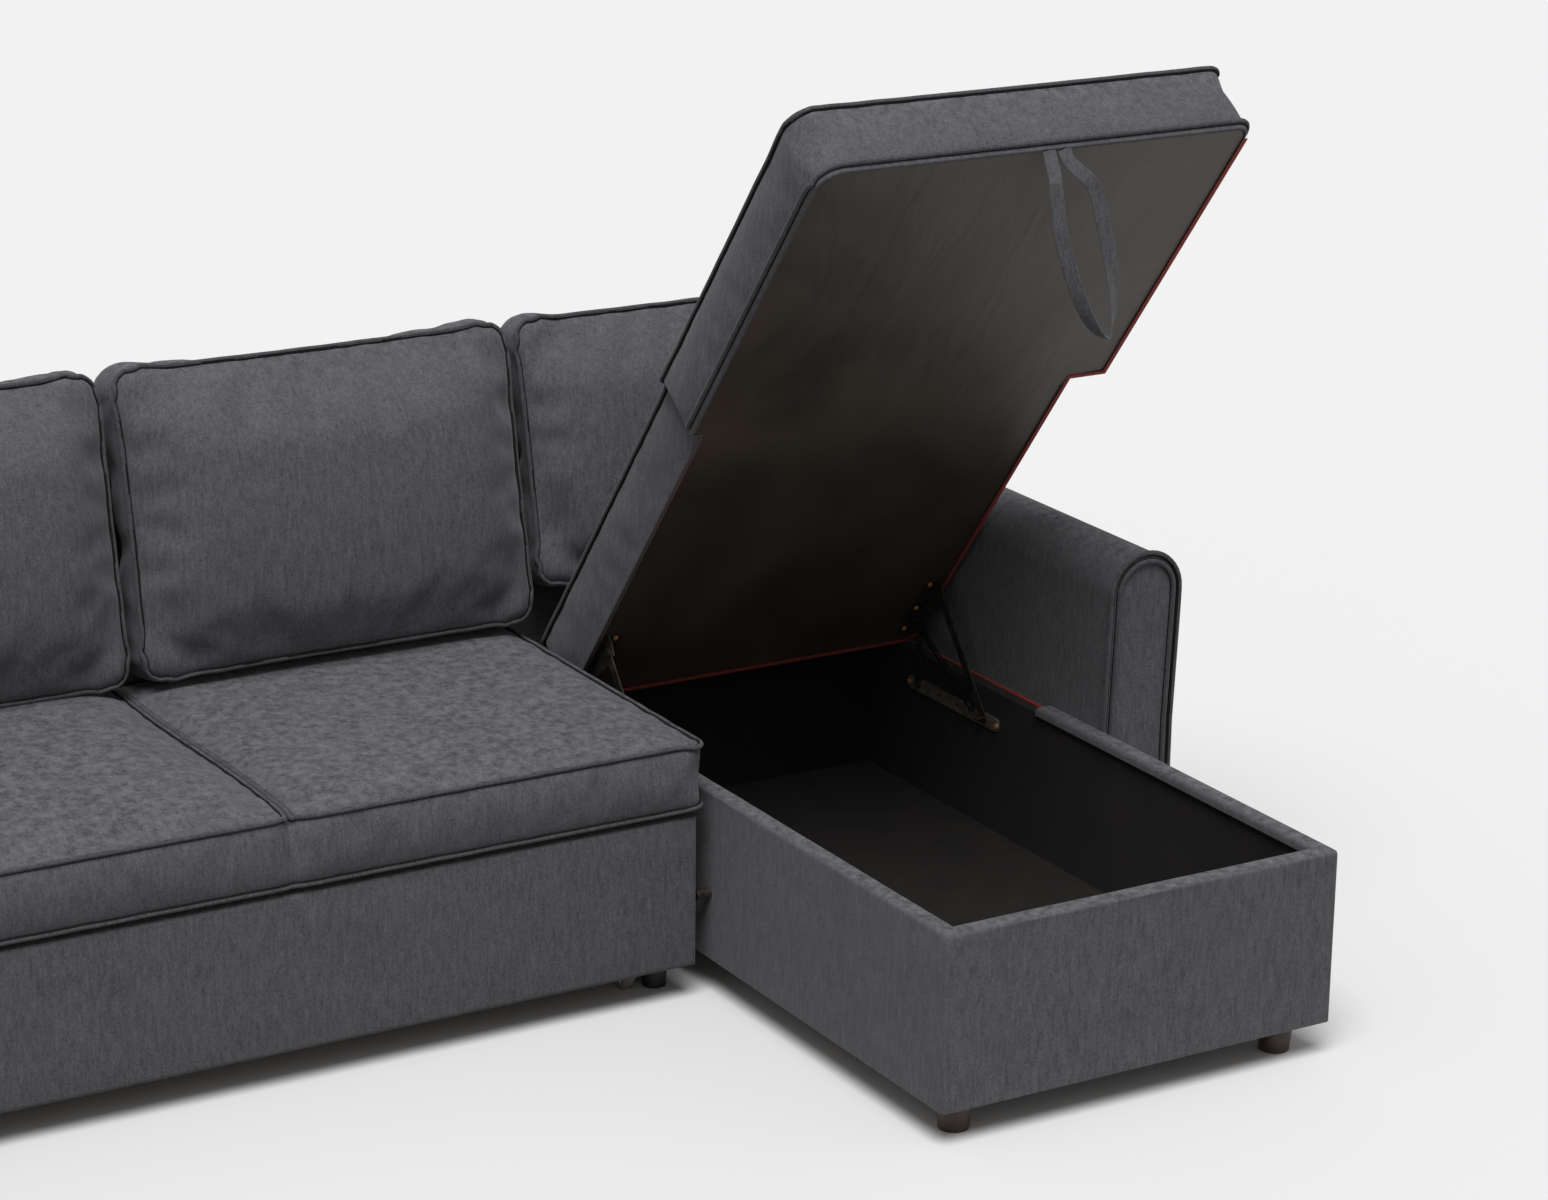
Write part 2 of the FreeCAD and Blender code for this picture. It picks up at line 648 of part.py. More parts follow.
faces = [Part.Face(Part.makePolygon(ends + ends[:1])) for ends in (rings[0], rings[-1])]
for one, two in zip(rings, rings[1:]):
    for i in range(4):
        j = (i + 1) % 4
        faces.append(Part.makeRuledSurface(Part.makeLine(one[i], one[j]), Part.makeLine(two[i], two[j])))
band = Part.makeShell(faces)
band.sewShape()
band = Part.makeSolid(Part.Shell(band.Faces))
if band.Volume < 0:
    band.reverse()
front_y = "lid_y - cos(lid_tilt * 1 deg) * (lid_length - 4) - sin(lid_tilt * 1 deg) * 4"
front_z = "lid_z + sin(lid_tilt * 1 deg) * (lid_length - 4) - cos(lid_tilt * 1 deg) * 4"
solid("pull_strap", band, "0", front_y, front_z)

# Sofa part: side boards, blocks, seat frame with webbing, one seat pad
block("base_left_board", ("back_left", "back_left + side_board"), ("seat_front + 60", "back_foot"),
      ("box_base", "seat_low"))
block("base_right_board", ("seat_right - 14 - side_board", "seat_right - 14"), ("seat_front + 60", "back_foot"),
      ("box_base", "seat_low"))
blocks, feet, heels = [], [], []
for number, x in enumerate(("back_left + side_board", "seat_right - 14 - side_board - 43")):
    for place, y in enumerate(("seat_front + 60", "back_foot - 60")):
        blocks.append(block(f"corner_block_{number}{place}", (x, f"{x} + 43"), (y, f"{y} + 60"),
                            ("box_base", "box_base + 60")))
        centre = f"{x} + {10 if number == 0 else 36.5}"
        kept = feet if place == 0 else heels
        kept.append(foot(f"sofa_foot_{number}{place}", "23", "20", centre, f"{y} + 30"))
group("base_corner_blocks", blocks)
group("sofa_front_feet", feet)
group("sofa_rear_feet", heels)

left, right = "seat_left + seat_edge", "seat_right - seat_edge"
front, back = "seat_front + seat_edge", "seat_back - seat_edge"
tall = ("seat_low", "frame_top")
rails = [block("seat_rail_front", (left, right), (front, front + " + rail"), tall),
         block("seat_rail_back", (left, right), (back + " - rail", back), tall)]
for number in range(7):
    x = f"{left} + ({right} - ({left}) - 40) * {number} / 6"
    rails.append(block(f"seat_rail_{number}", (x, f"{x} + 40"), (front + " + rail", back + " - rail"), tall))
frame = add("Part::MultiFuse", "seat_frame")
frame.Shapes = rails
straps = []
for number in range(5):
    y = f"{front} + 60 + 130 * {number}"
    straps.append(block(f"web_long_{number}", (left, right), (y, f"{y} + 50"), ("frame_top", "frame_top + cloth")))
for number in range(9):
    x = f"{left} + 70 + 155 * {number}"
    straps.append(block(f"web_cross_{number}", (x, f"{x} + 50"), (front, back),
                        ("frame_top + cloth", "frame_top + cloth * 2")))
group("seat_webbing", straps)


def seat_step(left, right, inset, level, radius=14, swell=0.0):
    """One outline of the seat pad, drawn in by an inset."""
    return pillow(left + inset, right - inset, size("seat_front") + inset, size("seat_back") - inset,
                  max(radius - inset, 6), swell, level)


low, line = size("seat_low"), size("seat_welt")
ends = (size("seat_left"), size("seat_right"))
split = size("seat_middle")
seat_base = [seat_step(*ends, inset, level) for inset, level in piping(low + size("welt"))[:4]]
seat_base += [seat_step(*ends, inset, level) for inset, level in
              (((3, (low + line) / 2), (0, line - size("welt"))))]
seat_tops = []
for ends in ((size("seat_left"), split - 4.8), (split + 4.8, size("seat_right"))):
    steps = [seat_step(*ends, inset, level) for inset, level in piping(line)]
    steps += [seat_step(*ends, inset, line + size("seat_crown") * rise, inset + radius, swell)
              for inset, rise, radius, swell in ((12, 0.4, 18, 0.001), (34, 0.7, 30, 0.002),
                                                 (76, 0.92, 44, 0.003), (140, 1, 56, 0.004))]
    seat_tops.append(stack(steps))
recess = Part.makeBox(size(f"{right} - ({left})"), size(f"{back} - ({front})"),
                      size("frame_top - seat_low + cloth * 2"), V(size(left), size(front), low))
solid("seat_pad", stack(seat_base).fuse(seat_tops).cut(recess))

# Connectors between the sofa part and the storage box
group("section_connectors", [rod("connector_front", "9", "26", "-26", "bed_front + 17", "172"),
                             rod("connector_rear", "9", "-(seat_right - 14)", "seat_right - 14", "1290", "172")])

# Back: ribs and rails under one upholstered cover


def back_profile(inset):
    """The side outline of the back, drawn in by a thickness."""
    a = inset
    return [(f"back_foot + {a}", "box_base"), (f"back_foot + {a}", f"318 - {a}"),
            (f"back_face + {a}", f"318 - {a}"), (f"back_face + {a}", f"440 + {a} * 0.4"),
            (f"back_lean + {a}", f"470 + {a} * 0.4"), (f"back_tip + {a}", f"back_top - {a}"),
            (f"back_rear - {a}", f"back_top - {a}"), (f"back_rear - {a}", "box_base")]


wrap = body("back_cover")
pad(wrap, polygon(wrap, "YZ", "back_left", back_profile("0")), "back_right - back_left")
soften(wrap, "Fillet", "14", lambda m, d: abs(d.x) > 1000 and m.z > 700)
pocket(wrap, polygon(wrap, "YZ", "back_left + back_cover", back_profile("back_cover")),
       "back_right - back_left - back_cover * 2", True)
put(wrap)

ribs = body("back_frame")
rib = pad(ribs, polygon(ribs, "YZ", "back_left + back_cover", back_profile("back_cover")), "board")
rows = ribs.newObject("PartDesign::LinearPattern", "rib_row")
rows.Originals = [rib]
rows.Direction = ([f for f in ribs.Origin.OriginFeatures if f.Role == "X_Axis"][0], [""])
rows.Occurrences = 10
bind(rows, Length="back_right - back_left - back_cover * 2 - board")
ribs.Tip = rows
doc.recompute()
span = "back_right - back_left - back_cover * 2"
for y, z in ((("back_foot + back_cover", "back_rear - back_cover"), ("box_base", "box_base + board")),
             (("back_tip + back_cover", "back_rear - back_cover"), ("back_top - back_cover - board",
                                                                    "back_top - back_cover")),
             (("back_foot + back_cover", "back_foot + back_cover + board"), ("318 - back_cover - 50",
                                                                             "318 - back_cover"))):
    pad(ribs, rectangle(ribs, "YZ", "back_left + back_cover", y, z), span)
put(ribs)


def back_cushion(name, left, wide, y, z, high, deep, floor):
    """A leaning cushion: rounded back, boxed sides, welt and crowned front."""
    rise = size("cushion_crown")
    steps = [(26, 2, 60, 0.004), (6, 16, 54, 0.006), (-1, 60, 52, 0.007)]
    steps += [(inset, level, 50 - inset, 0.006) for inset, level in piping(deep)]
    steps += [(16, deep + rise * 0.42, 54, 0.006), (56, deep + rise * 0.8, 62, 0.007),
              (140, deep + rise, 60, 0.008)]
    shape = stack([pillow(a, wide - a, a, high - a, r, s, level) for a, level, r, s in steps])
    tilt = FreeCAD.Rotation(V(1, 0, 0), 90 - size("cushion_lean"))
    shape.Placement = FreeCAD.Placement(V(left, y, z), tilt)
    under = Part.makeBox(1200, 900, 400, V(left - 200, 900, floor - 400))
    return solid(name, shape.cut(under))


edge, wide = size("cushion_edge"), size("cushion_wide")
high, deep = size("cushion_high"), size("cushion_thick")
back_cushion("back_cushion_left", size("back_left") + edge, wide, 1387.6, 449.1, high, deep, 466)
back_cushion("back_cushion_middle", edge - 742.5, wide + 9, 1387.6, 449.1, high, deep, 466)
back_cushion("back_cushion_right", edge + 0.25, wide, 1397.6, 499.1, high - 52, deep - 22, 498)


# Arms: a cover with a rounded top over a box of panels, welt around the front
def arm_curves(side, y):
    """The arm's outline as tangent lines and arcs, from the inner foot over the top."""
    low, mid = size("box_base"), size("rim_top")
    spots = [(size("arm_in"), low, 0, 1), (size("arm_in"), mid, 0, 1), (size("arm_in") + 8, mid + 216, 0.13, 1),
             (size("arm_peak"), size("arm_top"), 1, 0), (size("arm_bulge"), mid + 213, -0.04, -1),
             (size("arm_out"), mid - 97, 0, -1), (size("arm_out"), low, 0, -1)]
    flip = (lambda x: x) if side == "right" else (lambda x: size("mirror_line") - x)
    sign = 1 if side == "right" else -1
    curves = []
    for a, b in zip(spots, spots[1:]):
        start, end = V(flip(a[0]), y, a[1]), V(flip(b[0]), y, b[1])
        if a[2] == 0 and b[2] == 0 and abs(a[0] - b[0]) < 0.01:
            curves.append(Part.LineSegment(start, end))
        else:
            curves += biarc(start, V(sign * a[2], 0, a[3]), end, V(sign * b[2], 0, b[3]))
    return curves


for side in SIDES:
    front = size("arm_front")
    cap = body(f"arm_{side}_cover")
    drawing = sketch(cap, "XZ", "-arm_front")
    curves = arm_curves(side, 0)
    closing = Part.LineSegment(curves[-1].EndPoint, curves[0].StartPoint)
    for curve in curves + [closing]:
        flat_curve = curve.copy()
        flat_curve.rotate(FreeCAD.Placement(V(), FreeCAD.Rotation(V(1, 0, 0), -90)))
        drawing.addGeometry(flat_curve, False)
    pad(cap, drawing, "back_rear - arm_front", True)
    soften(cap, "Chamfer", "arm_chamfer", lambda m, d: abs(m.y - front) < 0.01 and m.z > size("box_base") + 1)
    soften(cap, "Fillet", "8", lambda m, d: abs(m.y - size("back_rear")) < 0.01 and m.z > size("box_base") + 1)
    x = ("arm_in + arm_shell", "arm_out - arm_shell")
    if side == "left":
        x = ("mirror_line - arm_out + arm_shell", "mirror_line - arm_in - arm_shell")
    y = ("arm_front + arm_shell", "back_rear - arm_shell")
    pocket(cap, rectangle(cap, "XY", "box_base", x, y), "arm_frame_top - box_base", True)
    put(cap)
    inside = (f"{x[0]} + arm_panel", f"{x[1]} - arm_panel")
    tall = ("box_base", "arm_frame_top")
    group(f"arm_{side}_frame", [
        block(f"arm_panel_a_{side}", (x[0], inside[0]), y, tall),
        block(f"arm_panel_b_{side}", (inside[1], x[1]), y, tall),
        block(f"arm_post_a_{side}", inside, (y[0], y[0] + " + 40"), tall),
        block(f"arm_post_b_{side}", inside, (y[1] + " - 40", y[1]), tall),
        block(f"arm_rail_a_{side}", inside, (y[0] + " + 40", y[1] + " - 40"), ("box_base", "box_base + rail")),
        block(f"arm_rail_b_{side}", inside, (y[0] + " + 40", y[1] + " - 40"),
              ("arm_frame_top - rail", "arm_frame_top"))])
    path = arm_curves(side, front - 0.25)
    if side == "right":
        path = path[1:]
    solid(f"arm_{side}_welt", tube(path, size("welt") - 0.3))

# Pull-out bed: covered front board, frame on four casters, slats, pad
x, y, z = ("bed_left", "bed_right"), ("bed_front", "bed_front + bed_panel"), ("bed_low", "bed_high")
block("bed_front_board", ("bed_left + padding", "bed_right - padding"),
      ("bed_front + padding", "bed_front + bed_panel"), ("bed_low + padding", "bed_high - padding"))
face = body("bed_front_cover")
pad(face, rectangle(face, "XZ", "-bed_front", x, z), "bed_panel", True)
soften(face, "Fillet", "corner_round", lambda m, d: m.y < size("bed_front") + 0.01)
pocket(face, rectangle(face, "XZ", "-bed_front - bed_panel", ("bed_left + padding", "bed_right - padding"),
                       ("bed_low + padding", "bed_high - padding")), "bed_panel - padding", True)
put(face)

behind = "bed_front + bed_panel"
inner = ("seat_middle - bed_rail_in - 55", "seat_middle + bed_rail_in + 55")
tall = ("bed_rail_low", "bed_rail_high")
bars = [block("bed_rail_left", (f"{inner[0]} - bed_rail_wide", inner[0]), (behind, "bed_back"), tall),
        block("bed_rail_right", (inner[1], f"{inner[1]} + bed_rail_wide"), (behind, "bed_back"), tall),
        block("bed_rail_front", inner, (behind, f"{behind} + bed_rail_wide"), tall),
        block("bed_rail_back", inner, ("bed_back - bed_rail_wide", "bed_back"), tall),
        block("bed_rail_middle", ("seat_middle - 20", "seat_middle + 20"),
              (f"{behind} + bed_rail_wide", "bed_back - bed_rail_wide"), ("bed_rail_high - 40", "bed_rail_high"))]
frame = add("Part::MultiFuse", "bed_frame")
frame.Shapes = bars
group("bed_slats", [block(f"bed_slat_{i}", (f"{inner[0]} - bed_rail_wide", f"{inner[1]} + bed_rail_wide"),
                          (f"{behind} + 8 + 75 * {i}", f"{behind} + 8 + 75 * {i} + 60"),
                          ("bed_rail_high", "bed_rail_high + slat")) for i in range(8)])
level = size("bed_rail_high + slat")
mattress = [size("seat_middle") - 697, size("seat_middle") + 679, size(behind) + 8, size("bed_back") + 8]
bed = [pillow(mattress[0] + a, mattress[1] - a, mattress[2] + a, mattress[3] - a, r, 0, level + h)
       for a, h, r in ((4, 0, 20), (0, 14, 24), (0, 70, 24), (5, 82, 22), (40, 88, 30), (110, 90, 40))]
solid("bed_pad", stack(bed))

forks, axles = [], []
places = [(f"{inner[0]} - 12.5", f"{behind} + 60"), (f"{inner[1]} + 12.5", f"{behind} + 60"),
          (f"{inner[0]} - 12.5", "bed_back - 60"), (f"{inner[1]} + 12.5", "bed_back - 60")]
for number, (x, y) in enumerate(places, 1):
    half = "(wheel_wide / 2)"
    cheeks = []
    for near in (f"{x} - {half} - 4", f"{x} + {half} + 1"):
        cheeks.append(block(f"cheek_{number}_{len(cheeks)}", (near, near + " + 3"), (y + " - 13", y + " + 13"),
                            ("wheel - 6", "wheel * 2 + 6")))
    cheeks.append(block(f"crown_{number}", (f"{x} - {half} - 4", f"{x} + {half} + 4"), (y + " - 17", y + " + 17"),
                        ("wheel * 2 + 3", "bed_rail_low")))
    fork = add("Part::MultiFuse", f"fork_blank_{number}")
    fork.Shapes = cheeks
    bore = rod(f"fork_bore_{number}", "axle", "wheel_wide + 10", f"{x} - {half} - 5", y, "wheel")
    drilled = add("Part::Cut", f"fork_{number}")
    drilled.Base = fork
    drilled.Tool = bore
    forks.append(drilled)
    axles.append(rod(f"axle_{number}", "axle", "wheel_wide + 8", f"{x} - {half} - 4", y, "wheel"))
    roll = body(f"caster_wheel_{number}")
    profile = polygon(roll, "XY", "0", [
        (f"-{half}", "axle_hole"), (half, "axle_hole"), (half, "wheel - 3"), (f"{half} - 3", "wheel"),
        (f"3 - {half}", "wheel"), (f"-{half}", "wheel - 3")])
    turned = roll.newObject("PartDesign::Revolution", f"wheel_turn_{number}")
    turned.Profile = profile
    turned.ReferenceAxis = ([f for f in roll.Origin.OriginFeatures if f.Role == "X_Axis"][0], [""])
    turned.Angle = 360
    put(roll, x, y, "wheel")
group("caster_forks", forks)
group("caster_axles", axles)

# Names of the pieces that are kept, each a node of its own
KEPT = """chaise_front_board chaise_left_board chaise_right_board chaise_rear_board chaise_bottom_board
chaise_cover chaise_lining chaise_front_feet chaise_rear_feet hinge_wall_plates hinge_wall_screws
hinge_wall_pins base_left_board base_right_board base_corner_blocks sofa_front_feet sofa_rear_feet
seat_frame seat_webbing seat_pad section_connectors back_frame back_cover back_cushion_left
back_cushion_middle back_cushion_right arm_left_frame arm_right_frame arm_left_cover arm_right_cover
arm_left_welt arm_right_welt lid_board lid_cushion lid_dust_cover lid_edge_binding hinge_lid_plates
hinge_lid_pins hinge_lid_screws hinge_front_links hinge_rear_links hinge_rear_pins hinge_springs
pull_strap bed_front_board bed_front_cover bed_frame bed_slats bed_pad caster_forks caster_axles
caster_wheel_1 caster_wheel_2 caster_wheel_3 caster_wheel_4""".split()

doc.recompute()
faults = [thing.Name for thing in doc.Objects if "Invalid" in thing.State or "Error" in thing.State]
nodes = {}
for name in KEPT:
    found = [thing for thing in doc.Objects if thing.Label == name]
    if len(found) != 1 or found[0].Shape.isNull() or not found[0].Shape.isValid():
        faults.append(name)
    else:
        nodes[name] = found[0]
if faults:
    raise ValueError("these pieces failed: " + ", ".join(faults))

os.makedirs("parts", exist_ok=True)
for name, thing in nodes.items():
    thing.Shape.exportStep(f"parts/{name}.step")
print(len(nodes), "pieces written")
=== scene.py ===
# %% [markdown]
# # A storage sofa with a lift up seat
# The measured frame is loaded first. Every board, bar and screw in it is already in its
# place, in metres, so the cushions and covers are simply built where the frame says.

# %% Load the measured frame
import bpy
import bmesh
import math
from mathutils import Matrix, Vector


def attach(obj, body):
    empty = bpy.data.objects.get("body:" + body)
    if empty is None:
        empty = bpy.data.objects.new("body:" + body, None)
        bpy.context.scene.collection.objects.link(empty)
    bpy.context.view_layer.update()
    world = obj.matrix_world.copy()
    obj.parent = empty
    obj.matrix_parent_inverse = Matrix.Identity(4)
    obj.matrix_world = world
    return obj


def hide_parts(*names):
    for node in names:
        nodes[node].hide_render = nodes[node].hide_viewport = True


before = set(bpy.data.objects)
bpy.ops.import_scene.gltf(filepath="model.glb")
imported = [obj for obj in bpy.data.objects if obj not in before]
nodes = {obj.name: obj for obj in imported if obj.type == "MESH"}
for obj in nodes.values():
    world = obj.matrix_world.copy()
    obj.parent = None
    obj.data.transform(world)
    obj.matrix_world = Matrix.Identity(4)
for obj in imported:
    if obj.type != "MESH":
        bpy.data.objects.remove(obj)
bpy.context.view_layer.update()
print(len(nodes), "pieces in the frame")

# %% [markdown]
# Sizes are easiest to read in millimetres from the front left corner of the storage box,
# with x to the right, y to the back and z up. One helper turns them into the frame's metres.

# %% From workshop millimetres to the frame
SHIFT = Vector((0.371, -0.780, 0.0))


def spot(x, y, z):
    """A place in the frame, from millimetres at the storage box."""
    return Vector((x, y, z)) / 1000 + SHIFT


print("the storage box starts at", [round(v, 3) for v in spot(0, 0, 0)])

# %% [markdown]
# In edit mode an operator works on everything that is selected. These helpers leave one
# piece selected and then pick faces, edges or points of it by where they are.

# %% Picking pieces and parts of pieces


def only(piece):
    bpy.ops.object.select_all(action="DESELECT")
    piece.select_set(True)
    bpy.context.view_layer.objects.active = piece


def edit(piece):
    only(piece)
    bpy.ops.object.mode_set(mode="EDIT")


def done():
    bpy.ops.object.mode_set(mode="OBJECT")


def pick(kind, test):
    """Select points, edges or faces of the piece in edit mode that pass a test."""
    bpy.ops.mesh.select_all(action="DESELECT")
    bpy.ops.mesh.select_mode(type=kind)
    mesh = bmesh.from_edit_mesh(bpy.context.object.data)
    parts = {"VERT": mesh.verts, "EDGE": mesh.edges, "FACE": mesh.faces}[kind]
    count = 0
    for part in parts:
        if test(part):
            part.select_set(True)
            count += 1
    mesh.select_flush_mode()
    bmesh.update_edit_mesh(bpy.context.object.data)
    return count


def middle(part):
    """The middle of an edge or a face, in metres."""
    points = [v.co for v in part.verts]
    return sum(points, Vector()) / len(points)


def along(edge, axis):
    """True if an edge runs along one axis, 0 for x, 1 for y, 2 for z."""
    way = edge.verts[1].co - edge.verts[0].co
    return way.length > 1e-6 and abs(way[axis]) > 0.98 * way.length


def near(a, b, reach=0.0006):
    return abs(a - b) < reach


def settle(piece):
    """Put the object at the origin, with its place in its mesh."""
    only(piece)
    bpy.ops.object.transform_apply(location=True, rotation=True, scale=True)
    return piece


def use(piece, kind, **settings):
    """Add a modifier and apply it."""
    only(piece)
    modifier = piece.modifiers.new(kind.title(), kind)
    for name, value in settings.items():
        setattr(modifier, name, value)
    bpy.ops.object.modifier_apply(modifier=modifier.name)
    return piece


def block(name, x, y, z, flat=False):
    """A plain block to start from; flat keeps it in its own flat frame."""
    low, high = Vector((x[0], y[0], z[0])) / 1000, Vector((x[1], y[1], z[1])) / 1000
    if not flat:
        low, high = low + SHIFT, high + SHIFT
    bpy.ops.object.select_all(action="DESELECT")
    bpy.ops.mesh.primitive_cube_add(size=1, location=(low + high) / 2)
    piece = bpy.context.object
    piece.name = name
    piece.scale = high - low
    return settle(piece)


def slices(axis, values):
    """Cut the piece in edit mode across an axis at some values, in metres."""
    for value in values:
        bpy.ops.mesh.select_all(action="SELECT")
        place = [0, 0, 0]
        place[axis] = value
        way = [0, 0, 0]
        way[axis] = 1
        bpy.ops.mesh.bisect(plane_co=place, plane_no=way)


def steps(low, high, size):
    """Evenly spread values between two ends, about one size apart."""
    count = max(1, round((high - low) / size))
    return [low + (high - low) * i / count for i in range(1, count)]


def reach(piece, axis):
    values = [v.co[axis] for v in piece.data.vertices]
    return min(values), max(values)


def grid_cut(piece, size):
    """Cut a piece all over into patches of about one size, so that it can bend."""
    edit(piece)
    for axis in range(3):
        slices(axis, steps(*reach(piece, axis), size))
    done()


def keep(piece, body, finish, *replaced):
    """Give the finished piece its material, its body, and the frame nodes it stands for."""
    piece.data.materials.clear()
    piece.data.materials.append(finish)
    only(piece)
    bpy.ops.object.shade_smooth_by_angle(angle=math.radians(40))
    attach(piece, body)
    if replaced:
        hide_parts(*replaced)
    return piece


print("helpers are ready")

# %% [markdown]
# ## Finishes
# A material is a small sum of noises and colours. Wrapping a node's output in a class with
# its own plus and times lets the sum be written as one, and it draws the nodes itself.

# %% Shader sums written as expressions


class Tone:
    """One output of a node, which can be added and multiplied."""

    def __init__(self, finish, socket):
        self.finish = finish
        self.socket = socket

    def sum(self, operation, one, other):
        return self.finish.node("ShaderNodeMath", {"operation": operation}, {0: one, 1: other})

    def __add__(self, other):
        return self.sum("ADD", self, other)

    __radd__ = __add__

    def __sub__(self, other):
        return self.sum("SUBTRACT", self, other)

    def __rsub__(self, other):
        return self.sum("SUBTRACT", other, self)

    def __mul__(self, other):
        return self.sum("MULTIPLY", self, other)

    __rmul__ = __mul__

    def __pow__(self, other):
        return self.sum("POWER", self, other)


class Finish:
    """A material with one principled shader, and a method that adds any other node."""

    def __init__(self, name, **fixed):
        self.material = bpy.data.materials.new(name)
        self.material.use_nodes = True
        self.tree = self.material.node_tree
        self.shader = self.tree.nodes["Principled BSDF"]
        for socket, value in fixed.items():
            self.shader.inputs[socket.replace("_", " ")].default_value = value
        self.place = self.node("ShaderNodeTexCoord", {}, {}, "Object")

    def node(self, kind, settings, sockets, output=0):
        made = self.tree.nodes.new(kind)
        for name, value in settings.items():
            if name == "stops":
                ramp = made.color_ramp
                while len(ramp.elements) < len(value):
                    ramp.elements.new(0.5)
                for element, (position, colour) in zip(ramp.elements, value):
                    element.position = position
                    element.color = (*colour, 1)
            else:
                setattr(made, name, value)
        for name, value in sockets.items():
            if isinstance(value, Tone):
                self.tree.links.new(value.socket, made.inputs[name])
            else:
                made.inputs[name].default_value = value
        return Tone(self, made.outputs[output])

    def noise(self, spread, detail=3.0, rough=0.55, bend=0.0):
        """Noise with its own fineness along x, y and z, in grains to the metre."""
        mapped = self.node("ShaderNodeMapping", {}, {"Vector": self.place, "Scale": spread})
        sockets = {"Vector": mapped, "Scale": 1.0, "Detail": detail, "Roughness": rough}
        return self.node("ShaderNodeTexNoise", {}, {**sockets, "Distortion": bend})

    def ramp(self, value, *stops):
        return self.node("ShaderNodeValToRGB", {"stops": stops}, {"Fac": value})

    def blend(self, share, one, other):
        """One colour where the share is 0, and the other where it is 1."""
        return self.node("ShaderNodeMix", {"data_type": "RGBA"}, {0: share, 6: one, 7: other}, 2)

    def colour(self, value):
        self.tree.links.new(value.socket, self.shader.inputs["Base Color"])

    def rough(self, value):
        self.tree.links.new(value.socket, self.shader.inputs["Roughness"])

    def bump(self, value, depth, strength=1.0):
        """Raise the surface by a depth in metres where the value is one."""
        sockets = {"Strength": strength, "Distance": depth, "Height": value}
        raised = self.node("ShaderNodeBump", {}, sockets)
        self.tree.links.new(raised.socket, self.shader.inputs["Normal"])


def light_of(level):
    """One screen level from 0 to 255 as the light it stands for."""
    share = level / 255
    return share / 12.92 if share < 0.0404 else ((share + 0.055) / 1.055) ** 2.4


def shade(red, green, blue):
    """A screen colour as the light it stands for."""
    return tuple(light_of(level) for level in (red, green, blue))


print("a mid grey is", [round(v, 3) for v in shade(128, 128, 128)])

# %% [markdown]
# The cover is a soft charcoal cloth with a short brushed pile. Close up it is heathered:
# fine threads in two greys, and faint clouds where the pile leans. Upright faces have thin
# streaks along their height, and level faces have soft brushed patches. Noises stretched
# along an axis make the threads, and sheen gives the pale bloom at grazing angles.

# %% Charcoal cloth


def cloth_finish(name, dark, light, threads=1.0):
    finish = Finish(name, Sheen_Weight=0.22, Sheen_Roughness=0.45, Specular_IOR_Level=0.2, Roughness=0.9)
    finish.shader.inputs["Sheen Tint"].default_value = (0.8, 0.82, 0.86, 1)
    across = finish.noise((900, 200, 200), 2.0, 0.6)
    down = finish.noise((200, 900, 200), 2.0, 0.6)
    fleck = finish.noise((420, 420, 240), 3.0, 0.7)
    streak = finish.noise((230, 110, 30), 3.0, 0.65)
    other = finish.noise((110, 230, 30), 3.0, 0.65)
    brushed = finish.noise((66, 60, 60), 3.0, 0.7)
    cloud = finish.noise((10, 10, 10), 3.0, 0.5)
    weave = (across + down) * 0.5
    facing = finish.node("ShaderNodeTexCoord", {}, {}, "Normal")
    level = finish.node("ShaderNodeSeparateXYZ", {}, {"Vector": facing}, 2) ** 4
    upright = (streak + other) * 0.13 + 0.16
    pile = upright + level * (brushed * 0.44 + 0.07 - upright)
    heather = weave * 0.14 + fleck * 0.24 + cloud * 0.04 + pile
    finish.colour(finish.ramp(heather, (0.41, dark), (0.59, light)))
    finish.bump(weave * 0.5 + fleck * 0.4 + cloud * 0.1, 0.001 * threads, 0.3)
    return finish.material


charcoal = cloth_finish("charcoal_cloth", shade(64, 64, 67), shade(114, 114, 118))
# Painted shade: the welts get a darker copy of the same charcoal cloth, so that the piping reads as a
# shaded darker line.
welt_cloth_painted_shade = cloth_finish("charcoal_welt_painted_shade", shade(50, 50, 53), shade(100, 100, 104))
# Painted shade: a near black cloth for the cord behind each welt, standing in for the shade in the
# crease beside it.
seam_shade = Finish("dark_stitching", Roughness=0.9, Specular_IOR_Level=0.1)
seam_shade_grain = seam_shade.noise((500, 500, 500))
seam_shade.colour(seam_shade.ramp(seam_shade_grain, (0.3, shade(24, 24, 25)), (0.7, shade(44, 44, 46))))
bed_cloth = cloth_finish("bed_cloth", shade(66, 66, 69), shade(112, 112, 115))
print("cloth finishes:", charcoal.name, welt_cloth_painted_shade.name, bed_cloth.name)

# %% [markdown]
# Under the seat lies a thin brown black dust cover, smoother than the cloth, with a soft
# shine and shallow creases. The box has a duller lining of the same kind. The binding of
# the seat's lower edge is grey at its far left and dark red beyond it.

